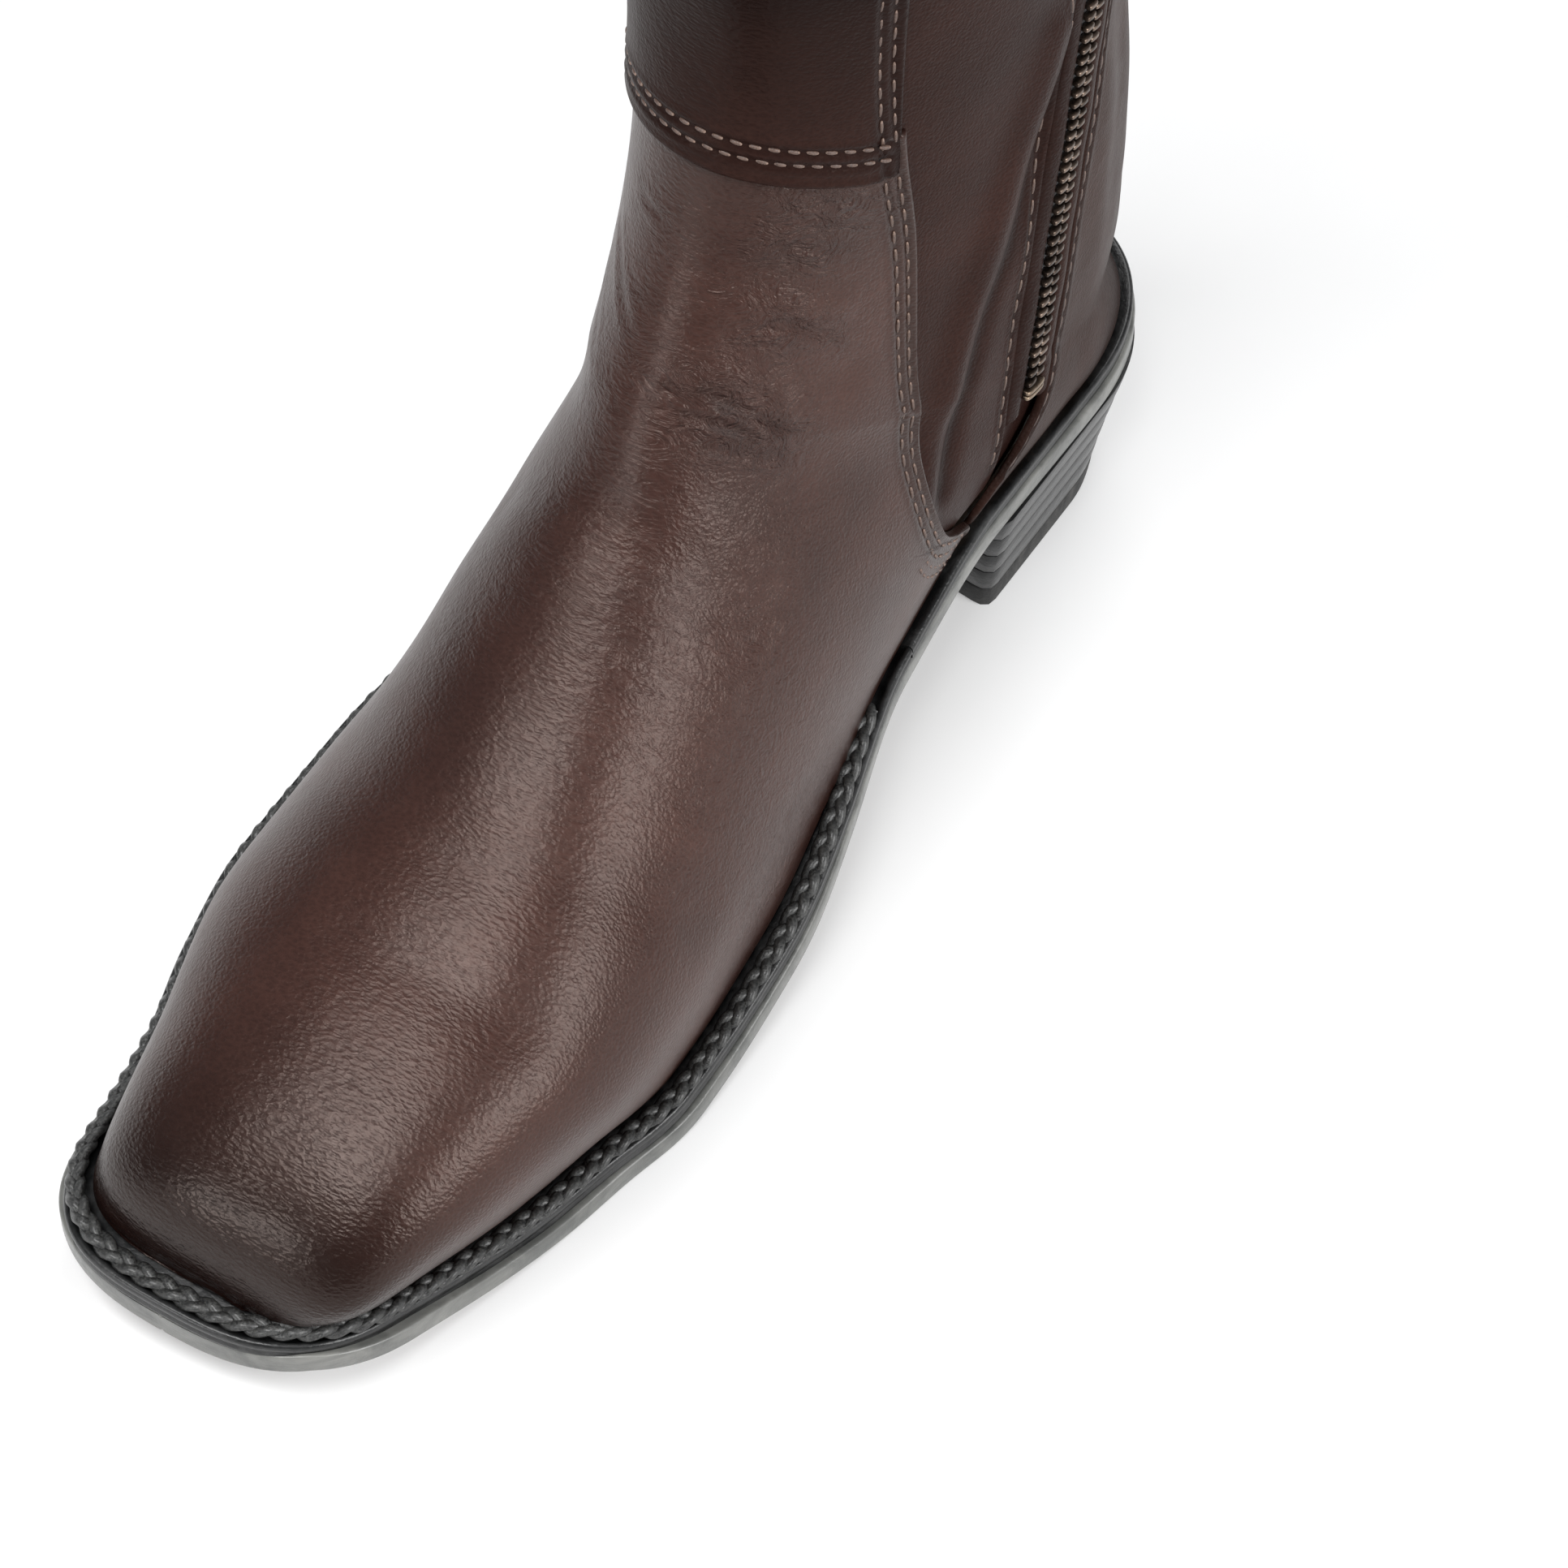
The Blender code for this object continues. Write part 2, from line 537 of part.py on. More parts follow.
def make_pull_loop():
    """A strap over the back of the mouth: a leg on each side of the wall, joined by an arch."""
    half, rise, leg, thick = 9.0, 16.0, 26.0, 1.6
    row = top_row(np.array([0.0, 0.03]))
    edge = last.at(row, np.array([0.0, 0.0]))[0]
    y_out, y_in, z_edge = edge[1] + 3.0, edge[1] - 8.4, edge[2]
    reach = (y_out - y_in) / 2
    arch = np.linspace(0, math.pi, 11)
    path = [(y_out - 1.2, z_edge - leg), *[((y_out + y_in) / 2 + reach * math.cos(t),
            z_edge + rise - reach + reach * math.sin(t)) for t in arch], (y_in - 2.6, z_edge - leg)]
    path = np.array(path)
    ahead = np.gradient(path, axis=0)
    out = np.stack([ahead[:, 1], -ahead[:, 0]], axis=1) / np.linalg.norm(ahead, axis=1)[:, None]
    grids = [np.stack([np.stack([np.full(len(path), x), *(path + out * shift).T], axis=1) for x in (-half, half)], axis=1)
             for shift in (0, thick)]
    grid_solid("pull_loop", grids[0], grids[1], dark_leather())


def make_threads():
    """Each row of stitching as one fine strand lying on its panel."""
    rise, radius = 0.55, 0.25
    across = np.linspace(0, 1, 24)
    for number, shift in enumerate((0.0, -0.0085), start=1):
        turn = inner_front(np.array(0.2)) + 0.012 + across * (outer_front(np.array(0.2)) - inner_front(np.array(0.2)) - 0.024)
        line = last.at(cross_row(turn) + shift, turn, LAPPED[1] + rise)
        tube(f"cross_seam_thread_{number}", line, radius, thread())
    for side, name in ((1, "medial"), (-1, "lateral")):
        for number, inset in enumerate((2.2, 4.4), start=1):
            line = [(y - inset, z) for y, z in FRONT_SEAM[1:3]]
            row, turn = seam_rows([(line[0][0], 262), *line, (line[1][0], 171)], side, 6)
            tube(f"{name}_front_thread_{number}", last.at(row, turn, LAPPED[1] + rise), radius, thread())
            lower = [(y - inset, z) for y, z in FRONT_SEAM[3:6]]
            lower += [(-63 - 0.8 * inset, 63 - 0.4 * inset), (-57 - 0.4 * inset, 55.5 - 0.9 * inset)]
            row, turn = seam_rows([(lower[0][0], 158), *lower], side, 16)
            tube(f"{name}_vamp_thread_{number}", last.at(row, turn, rise), radius, thread())


# ------------------------------------------------------------------------------------------------------- the inside zip


def zip_frame():
    """(top point, unit vectors down the zip, outwards and across) of the zip's straight line."""
    rows, turns = last.place([ZIP_TOP, ZIP_FOOT], 1)
    top, foot = last.at(rows, turns)
    down = (foot - top) / np.linalg.norm(foot - top)
    out = np.array([1.0, 0.0, 0.0])
    out = out - down * (out @ down)
    out = out / np.linalg.norm(out)
    return top, down, out, np.cross(out, down), np.linalg.norm(foot - top)


def zip_bar(name, start, end, outline, finish):
    """A bar along the zip, from start to end below its top, on an outline of (across, out)."""
    top, down, out, across, _ = zip_frame()
    count = len(outline)
    points = [top + down * run + across * a + out * o for run in (start, end) for a, o in outline]
    faces = [list(range(count)), list(range(count, 2 * count))[::-1]]
    faces += [[k, k + count, (k + 1) % count + count, (k + 1) % count] for k in range(count)]
    return add_mesh(name, points, faces, finish)


def box_outline(low_across, high_across, low_out, high_out):
    return [(low_across, low_out), (high_across, low_out), (high_across, high_out), (low_across, high_out)]


def make_zip():
    length = zip_frame()[4]
    chain_top, chain_low = 0.3, 0.3 - CHAIN_THICK
    tape = (chain_low - GAP - TAPE_THICK, chain_low - GAP)
    zip_bar("zip_chain", 3.0, length - 3.0, box_outline(-CHAIN_HALF, CHAIN_HALF, chain_low, chain_top), zip_metal())
    zip_bar("zip_tape_front", 0.0, length, box_outline(-ZIP_HALF + 0.6, -0.2, *tape), zip_cloth())
    zip_bar("zip_tape_rear", 0.0, length, box_outline(0.2, ZIP_HALF - 0.6, *tape), zip_cloth())
    zip_bar("zip_bottom_stop", length - 2.7, length - 0.2, box_outline(-3.4, 3.4, chain_low, 0.9), zip_metal())
    zip_bar("zip_top_stop", 0.2, 2.7, box_outline(-3.2, 3.2, chain_low, 0.9), zip_metal())


def make_zip_slider():
    """A plate with turned-down flanges over the chain, and a bridge on it that holds the pull."""
    plate, top = 0.7, 2.1
    wall = SLIDER_HALF - 0.9
    outline = [(-SLIDER_HALF, -1.0), (-wall, -1.0), (-wall, plate), (wall, plate), (wall, -1.0), (SLIDER_HALF, -1.0),
               (SLIDER_HALF, top - 0.6), (SLIDER_HALF - 0.8, top), (-SLIDER_HALF + 0.8, top), (-SLIDER_HALF, top - 0.6)]
    body = zip_bar("zip_slider", SLIDER_START, SLIDER_START + SLIDER_LENGTH, outline, zip_metal())
    middle = SLIDER_START + SLIDER_LENGTH / 2
    origin, down, out, across, _ = zip_frame()
    high = top + 1.9
    side = [(-BRIDGE_REACH, top - 0.5), (-BRIDGE_REACH, high + BRIDGE_BAR), (BRIDGE_REACH, high + BRIDGE_BAR),
            (BRIDGE_REACH, top - 0.5), (BRIDGE_REACH - BRIDGE_BAR, top - 0.5), (BRIDGE_REACH - BRIDGE_BAR, high),
            (BRIDGE_BAR - BRIDGE_REACH, high), (BRIDGE_BAR - BRIDGE_REACH, top - 0.5)]
    count = len(side)
    points = [origin + down * (middle + run) + out * o + across * a for a in (-BRIDGE_HALF, BRIDGE_HALF) for run, o in side]
    faces = [list(range(count)), list(range(count, 2 * count))[::-1]]
    faces += [[k, k + count, (k + 1) % count + count, (k + 1) % count] for k in range(count)]
    bridge = add_mesh("slider_bridge", points, faces, zip_metal())
    bridge.hide_render = True
    bridge.display_type = "WIRE"
    joined = body.modifiers.new("bridge", "BOOLEAN")
    joined.operation = "UNION"
    joined.object = bridge


def pull_axis():
    """The point on the pull's hinge line at the middle of the slider."""
    origin, down, out, _, _ = zip_frame()
    return origin + down * (SLIDER_START + SLIDER_LENGTH / 2) + out * (2.1 + 0.95)


def make_zip_pull():
    """A flat tab with a window whose top bar lies under the slider's bridge."""
    _, down, out, across, _ = zip_frame()
    axis = pull_axis()
    bar, arm, start = 0.6, 1.3, 8.0
    outer = [(-PULL_HALF, -bar), (PULL_HALF, -bar), (PULL_HALF, start), (PULL_HALF - 0.8, PULL_LENGTH - 2),
             (PULL_HALF - 2.4, PULL_LENGTH), (2.4 - PULL_HALF, PULL_LENGTH), (0.8 - PULL_HALF, PULL_LENGTH - 2),
             (-PULL_HALF, start)]
    inner = [(arm - PULL_HALF, bar), (PULL_HALF - arm, bar), (PULL_HALF - arm, start - 0.6), (arm - PULL_HALF, start - 0.6)]
    work = bmesh.new()
    loops = []
    for ring in (outer, inner):
        verts = [work.verts.new((axis + across * a + down * d - out * PULL_THICK / 2) * MM) for a, d in ring]
        loops += [work.edges.new((verts[k], verts[(k + 1) % len(verts)])) for k in range(len(verts))]
    bmesh.ops.triangle_fill(work, edges=loops, use_beauty=True)
    lifted = bmesh.ops.extrude_face_region(work, geom=work.faces[:])
    moved = [v for v in lifted["geom"] if isinstance(v, bmesh.types.BMVert)]
    bmesh.ops.translate(work, verts=moved, vec=(out * PULL_THICK * MM).tolist())
    bmesh.ops.recalc_face_normals(work, faces=work.faces)
    mesh = bpy.data.meshes.new("zip_pull")
    work.to_mesh(mesh)
    work.free()
    hinge = bpy.data.objects.new("pull_hinge", None)
    bpy.context.scene.collection.objects.link(hinge)
    hinge.location = (axis * MM).tolist()
    made = add_object("zip_pull", mesh, zip_metal())
    made.parent = hinge
    made.matrix_parent_inverse = hinge.matrix_basis.inverted()


# ---------------------------------------------------------------------------------------------------------- the sole


def plan_sides(out, y_from, y_to, count):
    """(inner side, outer side) of the feather line moved outwards by out(y), from y_from to y_to, as plan points."""
    y = foot_stations(1600)
    half = foot_half(y) * toe_share(y) * heel_share(y)
    sides = []
    for sign in (1, -1):
        line = np.stack([foot_centre(y) + sign * half, y], axis=1)
        mirrored = np.stack([foot_centre(y) - sign * half, y], axis=1)
        whole = np.vstack([mirrored[2:0:-1], line, mirrored[-2:-4:-1]])
        ahead = np.gradient(whole, axis=0)[2:-2]
        ahead /= np.linalg.norm(ahead, axis=1, keepdims=True)
        moved = line + sign * np.stack([-ahead[:, 1], ahead[:, 0]], axis=1) * out(y)[:, None]
        keep = (y <= max(y_from, y_to) + 1e-9) & (y >= min(y_from, y_to) - 1e-9)
        moved = moved[keep]
        run = np.concatenate([[0], np.cumsum(np.linalg.norm(np.diff(moved, axis=0), axis=1))])
        wanted = np.linspace(0, run[-1], count)
        sides.append(np.stack([np.interp(wanted, run, moved[:, k]) for k in (0, 1)], axis=1))
    return sides


def edge_out(y):
    """How far the sole's edge stands outside the feather line."""
    return monotone([(-264, WELT_OUT), (-130, WELT_OUT - 0.5), (WELT_END_Y, WAIST_OUT), (-30, HEEL_OUT), (40, HEEL_OUT)])(y)


def slab(name, out, y_from, y_to, low, high, finish, count=34, across=5):
    """A layer of the sole under the foot: heights low and high are measured from the feather line."""
    inner, outer = plan_sides(out, y_from, y_to, count)
    share = np.linspace(0, 1, across)[None, :, None]
    flat = inner[:, None] * (1 - share) + outer[:, None] * share
    height = feather_z(np.clip(flat[..., 1], TIP_Y, SEAT_Y))
    grids = [np.concatenate([flat, (height + rise)[..., None]], axis=2) for rise in (low, high)]
    return grid_solid(name, grids[0], grids[1], finish)


def strip(name, out_near, out_far, y_end, heel, low, high, finish, count=34):
    """A strip along the feather line, round the toe or round the heel, between two distances from it."""
    y_tip = SEAT_Y if heel else TIP_Y
    rings = []
    for out in (out_near, out_far):
        inner, outer = plan_sides(out, y_end, y_tip, count)
        if heel:
            inner, outer = inner[::-1], outer[::-1]
        rings.append(np.vstack([inner, outer[-2::-1]]))
    flat = np.stack(rings, axis=1)
    height = feather_z(np.clip(flat[..., 1], TIP_Y, SEAT_Y))
    grids = [np.concatenate([flat, (height + rise)[..., None]], axis=2) for rise in (low, high)]
    return grid_solid(name, grids[0], grids[1], finish)


def constant(value):
    return lambda y: np.full(np.shape(y), float(value))


def make_sole():
    under_welt = -GAP - WELT_THICK
    sole_top = under_welt - SOLE_GAP
    slab("outsole", edge_out, SEAT_Y, TIP_Y, sole_top - SOLE_THICK, sole_top, sole_leather(), 40, 4)
    strip("welt", constant(-2.0), edge_out, WELT_END_Y, False, under_welt, -GAP, black_leather(), 36)
    strip("heel_seat_rand", constant(-2.0), edge_out, WELT_END_Y + 0.6, True, under_welt, -0.8, black_leather(), 18)
    slab("insole", constant(-INSOLE_IN), SEAT_Y - INSOLE_IN, TIP_Y + 2, 0.0, INSOLE_THICK, lining_leather(), 30, 4)
    strip("insole_rib", constant(-8.5), constant(-5.6), -92.0, False, under_welt, -GAP, lining_leather(), 22)
    slab("cork_filler", constant(-9.2), -112.0, -240.0, under_welt, -GAP, cork(), 16, 3)
    slab("sock_pad", constant(-INSOLE_IN - 1.2), SEAT_Y - 7, -52.0, INSOLE_THICK + GAP, INSOLE_THICK + GAP + 1.6,
         lining_leather(), 14, 4)


def make_shank():
    y = np.linspace(-110, -12, 14)
    half = 7.5
    flat = np.stack([np.stack([foot_centre(y) + x, y], axis=1) for x in (-half, 0, half)], axis=1)
    height = feather_z(flat[..., 1])
    grids = [np.concatenate([flat, (height + rise)[..., None]], axis=2) for rise in (-GAP - WELT_THICK, -1.6)]
    grid_solid("shank", grids[0], grids[1], steel())


def make_welt_braid():
    inner, outer = plan_sides(constant(4.6), WELT_END_Y - 14, TIP_Y, 34)
    flat = np.vstack([inner, outer[-2::-1]])
    tube("welt_braid", np.column_stack([flat, feather_z(np.clip(flat[:, 1], TIP_Y, SEAT_Y)) + 1.35]), 1.25,
         black_leather(), 1)


def heel_outline(share):
    """The heel's plan at a height, from its tread (0) to its seat (1)."""
    rear = TREAD_REAR_Y + (SEAT_Y + HEEL_OUT - TREAD_REAR_Y) * share**1.3
    front = TREAD_FRONT_Y + (HEEL_BREAST_Y - TREAD_FRONT_Y) * share
    half = TREAD_HALF + (foot_half(0.0) + HEEL_OUT - TREAD_HALF) * share**1.3
    round_from = rear - half * 1.02
    turn = np.linspace(0, math.pi, 17)
    arc = [(half * math.cos(t), round_from + (rear - round_from) * math.sin(t)) for t in turn]
    return [(half, front), *arc, (-half, front)]


def make_heel():
    top = SEAT_Z - GAP - WELT_THICK - SOLE_GAP - SOLE_THICK - GAP
    height = (top - TOP_PIECE_THICK) / LIFT_COUNT
    cutter = nail_cutter()
    for number in range(1, LIFT_COUNT + 1):
        high = top - (number - 1) * height
        low = high - height + GAP
        outline = heel_outline(((high + low) / 2) / top)
        lift = prism(f"heel_lift_{number}", outline, low, high, black_leather())
        if number == LIFT_COUNT:
            cut_nails(lift, cutter)
    cap = prism("heel_top_piece", heel_outline(0.0), 0.0, TOP_PIECE_THICK, rubber())
    cut_nails(cap, cutter)
    for number, place in enumerate(NAIL_PLACES, start=1):
        prism(f"heel_nail_{number}", round_outline(place, NAIL_RADIUS), 0.4, NAIL_TOP, steel())


def round_outline(centre, radius, sides=8):
    return [(centre[0] + radius * math.cos(2 * math.pi * k / sides), centre[1] + radius * math.sin(2 * math.pi * k / sides))
            for k in range(sides)]


def nail_cutter():
    """The five nail holes as one cutter."""
    points, faces, sides = [], [], 8
    for place in NAIL_PLACES:
        start = len(points)
        for z in (-1.0, NAIL_TOP + 0.4):
            points += [(x, y, z) for x, y in round_outline(place, NAIL_HOLE, sides)]
        faces.append([start + k for k in range(sides)][::-1])
        faces.append([start + sides + k for k in range(sides)])
        faces += [[start + k, start + (k + 1) % sides, start + sides + (k + 1) % sides, start + sides + k]
                  for k in range(sides)]
    cutter = add_mesh("nail_cutter", points, faces, steel())
    cutter.hide_render = True
    cutter.display_type = "WIRE"
    return cutter


def cut_nails(obj, cutter):
    holes = obj.modifiers.new("nail_holes", "BOOLEAN")
    holes.operation = "DIFFERENCE"
    holes.object = cutter


def clear_scene():
    for obj in list(bpy.data.objects):
        bpy.data.objects.remove(obj)


def main():
    clear_scene()
    make_front_panel()
    make_vamp()
    make_quarter()
    make_heel_counter()
    make_toe_puff()
    make_linings()
    make_medial_gusset()
    make_lateral_side()
    make_top_binding()
    make_pull_loop()
    make_threads()
    make_zip()
    make_zip_slider()
    make_zip_pull()
    make_sole()
    make_shank()
    make_welt_braid()
    make_heel()


main()
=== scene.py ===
"""The finished look of a western ankle boot: leathers, seams, elastic, zip, braided welt and stacked heel.

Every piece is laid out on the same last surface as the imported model. Lengths are in millimetres here and
become metres when a mesh is made. The toe points to -Y, the inner (medial) side to +X, and the heel stands
round the origin.

A point of the last is (row, turn): row runs from the shaft's top (0) to the toe's tip (1), and turn from the
inner feather line (0) over the front ridge (0.5) to the outer one (1). Round the shaft, turns 0 and 1 meet
at the back.
"""

import math

import bpy
import numpy as np
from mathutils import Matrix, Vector


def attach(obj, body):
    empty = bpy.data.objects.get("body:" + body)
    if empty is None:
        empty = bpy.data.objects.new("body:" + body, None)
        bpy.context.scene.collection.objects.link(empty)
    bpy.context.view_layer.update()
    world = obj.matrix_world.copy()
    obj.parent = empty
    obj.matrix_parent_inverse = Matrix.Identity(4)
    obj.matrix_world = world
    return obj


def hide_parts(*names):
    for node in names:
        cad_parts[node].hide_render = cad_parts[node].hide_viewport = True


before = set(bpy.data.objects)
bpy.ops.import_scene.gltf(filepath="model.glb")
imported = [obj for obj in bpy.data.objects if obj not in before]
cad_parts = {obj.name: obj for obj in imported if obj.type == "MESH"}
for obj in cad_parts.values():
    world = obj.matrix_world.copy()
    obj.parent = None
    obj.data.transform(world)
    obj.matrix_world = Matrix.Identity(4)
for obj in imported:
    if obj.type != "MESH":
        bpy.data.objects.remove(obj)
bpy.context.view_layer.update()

MM = 0.001
RNG = np.random.default_rng(7)

# The last, seen from the side as (y, z), and its widths
PIVOT_Y, TOP_Z = -400.0, 280.0
TIP_Y, SEAT_Y, SEAT_Z = -256.0, 38.0, 42.0
FRONT_LINE = [(-92, TOP_Z), (-87, 230), (-86.5, 190), (-92, 158), (-103, 135), (-117, 116), (-134, 99.5),
              (-155, 85), (-178, 72.5), (-203, 62), (-228, 53.5), (-244, 46.5), (-253, 39), (-257, 30),
              (TIP_Y, 19.5)]
BACK_LINE = [(42, TOP_Z), (38, 220), (35, 160), (36, 125), (41, 95), (43.5, 72), (43, 55), (SEAT_Y, SEAT_Z)]
FEATHER_LINE = [(TIP_Y, 19.5), (-240, 15.5), (-215, 10.6), (-195, 8.6), (-176, 8.6), (-158, 10.7),
                (-130, 17.5), (-100, 27), (-70, 35), (-36, SEAT_Z), (SEAT_Y, SEAT_Z)]
FOOT_HALF = [(TIP_Y, 26.5), (-235, 31), (-210, 37), (-185, 43), (-165, 46.5), (-135, 45), (-105, 40),
             (-75, 34.5), (-40, 32), (0, 31.5), (SEAT_Y, 30)]
FOOT_CENTRE = [(TIP_Y, -7), (-210, -6), (-185, -7), (-165, -6.5), (-135, -5), (-105, -3), (-75, -2),
               (-40, -1), (0, 0)]
TOE_ROUND, TOE_POWER, HEEL_ROUND, HEEL_POWER = 22.0, 3.0, 36.0, 2.3
SECTION_HALF = [(0, 41.5), (8, 39.5), (16, 37.5), (23, 36.2), (29, 36), (34, 37), (38, 39), (43, 43.5),
                (47, 46.5), (50, 45.5), (54, 39.6), (58, 32.6), (62, 26.6)]
SECTION_POWER = [(0, 2.0), (28, 2.0), (36, 2.1), (44, 2.25), (52, 2.5), (58, 2.9), (62, 3.2)]
RIDGE_SHIFT = [(0, 0), (20, 0), (30, 1), (38, 3), (46, 7), (52, 7), (58, 4), (62, 2)]
SHAFT_SHARE = 0.4
LINING_STEP = 0.35

# Layers of the upper, outwards from the last surface
OUTER = (-1.4, 0.0)
LAPPED = (0.4, 1.7)
MIDDLE = (-3.1, -2.0)
COUNTER = (-3.0, -2.5)
LINING = (-5.2, -4.3)

# Seams as seen from the side, (y, z)
FRONT_SEAM = [(-66, 290), (-66.5, 204), (-66, 167), (-64.5, 141), (-67, 106), (-67, 79), (-63, 63),
              (-57, 55.5), (-50, 50), (-47.5, 45), (-46, 38.3)]
CROSS_SEAM_SIDE_Z = 167.0
CROSS_SEAM_DROP = 0.004
REAR_SEAM_FOOT = [(-33, 58), (-40, 52.5), (-45.2, 48.3), (-46, 45), (-44.6, 38.3)]
GORE_OUTLINE = [(-58, 290), (-58, 204), (-57, 150), (-56, 112), (-51, 92), (-44, 86), (-36, 92), (-29, 112),
                (-21, 150), (-10, 204), (0, 290)]
RIB_PITCH = 2.1
SCALLOP = 0.018

# Zip, a straight line on the inner side
ZIP_TOP, ZIP_FOOT, ZIP_HALF = (6.0, 272.0), (-29.8, 70.0), 5.8
TOOTH_PITCH = 2.5

# Sole and heel
WELT_OUT, WAIST_OUT, HEEL_OUT = 7.5, 3.0, 3.0
WELT_THICK, SOLE_THICK, SOLE_GAP, GAP = 3.0, 4.7, 0.6, 0.3
WELT_END_Y = -72.0
INSOLE_IN, INSOLE_THICK = 7.6, 3.0
HEEL_BREAST_Y, TREAD_REAR_Y, TREAD_FRONT_Y, TREAD_HALF = -35.0, 31.0, -31.0, 29.0
TOP_PIECE_THICK, LIFT_COUNT = 6.5, 4
NAIL_PLACES = [(0, 22), (17, 12), (-17, 12), (19, -14), (-19, -14)]

# The plaited cord on the welt
BRAID_OUT, BRAID_RISE, BRAID_PERIOD = 4.0, 0.85, 14.4
BRAID_SWING, BRAID_LIFT, BRAID_WIDE, BRAID_HIGH = 1.1, 0.65, 1.15, 0.95

# The camera, in metres and degrees
CAMERA_AZIMUTH, CAMERA_ELEVATION = 32.27, 52.92
CAMERA_TARGET, CAMERA_DISTANCE = (0.0419, -0.1286, 0.06), 1.0865
FLOOR_GLOW = 0.32


# --------------------------------------------------------------------------------------- curves and the last


def monotone(points):
    """A function that runs smoothly through (x, value) points without overshooting."""
    xs, ys = np.array(points, float).T
    step = np.diff(xs)
    slope = np.diff(ys) / step
    lean = np.zeros(len(xs))
    same = slope[:-1] * slope[1:] > 0
    lean[1:-1][same] = (2 * slope[:-1] * slope[1:] / (slope[:-1] + slope[1:] + 1e-12))[same]
    lean[0], lean[-1] = slope[0], slope[-1]

    def value(x):
        x = np.clip(np.asarray(x, float), xs[0], xs[-1])
        i = np.clip(np.searchsorted(xs, x) - 1, 0, len(step) - 1)
        t = (x - xs[i]) / step[i]
        start = (1 + 2 * t) * (1 - t) ** 2 * ys[i] + t * (1 - t) ** 2 * step[i] * lean[i]
        return start + t * t * (3 - 2 * t) * ys[i + 1] + t * t * (t - 1) * step[i] * lean[i + 1]

    return value


def bell(x, middle, width):
    """1 at the middle, falling away smoothly on both sides."""
    return np.exp(-(((x - middle) / width) ** 2))


def ramp(x, start, span):
    """0 up to start, 1 from start + span, and straight between them."""
    return np.clip((x - start) / span, 0, 1)


def unit(vectors):
    return vectors / np.linalg.norm(vectors, axis=-1, keepdims=True)


def run_along(points):
    """The length of a polyline up to each of its points."""
    return np.concatenate([[0], np.cumsum(np.linalg.norm(np.diff(points, axis=0), axis=1))])


def evenly(points, count):
    """count points evenly spaced along a polyline."""
    points = np.asarray(points, float)
    run = run_along(points)
    wanted = np.linspace(0, run[-1], count)
    return np.stack([np.interp(wanted, run, points[:, k]) for k in range(points.shape[1])], axis=1)


def curve_through(points, count):
    """count points, evenly spaced, on a Catmull-Rom curve through the given points."""
    p = np.array(points, float)
    p = np.vstack([2 * p[0] - p[1], p, 2 * p[-1] - p[-2]])
    t = np.linspace(0, 1, 40, endpoint=False)[:, None]
    runs = []
    for a, b, c, d in zip(p, p[1:], p[2:], p[3:]):
        runs.append(0.5 * (2 * b + (c - a) * t + (2 * a - 5 * b + 4 * c - d) * t**2 + (3 * b - a - 3 * c + d)
                           * t**3))
    return evenly(np.vstack([*runs, p[-2:-1]]), count)


def smoothed(values, width, axis=0):
    """values blurred along an axis with a Gaussian of that width in steps, its ends kept by mirroring."""
    reach = int(3 * width)
    kernel = np.exp(-0.5 * (np.arange(-reach, reach + 1) / width) ** 2)
    kernel /= kernel.sum()
    moved = np.moveaxis(values, axis, 0)
    low = 2 * moved[:1] - moved[reach:0:-1]
    high = 2 * moved[-1:] - moved[-2:-reach - 2:-1]
    padded = np.concatenate([low, moved, high])
    made = sum(k * padded[i:i + len(moved)] for i, k in enumerate(kernel))
    return np.moveaxis(made, 0, axis)


def eased(share):
    """share from 0 to 1 with soft ends."""
    return share * share * (3 - 2 * share)


feather_z = monotone(FEATHER_LINE)
foot_half = monotone(FOOT_HALF)
foot_centre = monotone(FOOT_CENTRE)


def toe_share(y):
    """How much of its full width the foot has at y, near the toe's blunt end."""
    return (1 - (1 - ramp(y, TIP_Y, TOE_ROUND)) ** TOE_POWER) ** (1 / TOE_POWER)


def heel_share(y):
    return (1 - (1 - ramp(SEAT_Y, y, HEEL_ROUND)) ** HEEL_POWER) ** (1 / HEEL_POWER)


def edge_half(y):
    """Half the feather line's width at y."""
    return foot_half(y) * toe_share(y) * heel_share(y)


def angle_of(y, z):
    """The angle, in degrees, of the plane through the pivot line and a point seen from the side."""
    return np.degrees(np.arctan2(TOP_Z - z, y - PIVOT_Y))


def foot_stations(count):
    """count values of y from the heel seat's rear to the toe's tip, evenly spaced round the feather line."""
    turn = np.linspace(0, math.pi, 4000)
    y = (SEAT_Y + TIP_Y) / 2 + (SEAT_Y - TIP_Y) / 2 * np.cos(turn)
    length = np.concatenate([[0], np.cumsum(np.hypot(np.diff(y), np.diff(edge_half(y))))])
    return np.interp(np.linspace(0, length[-1], count), length, y)


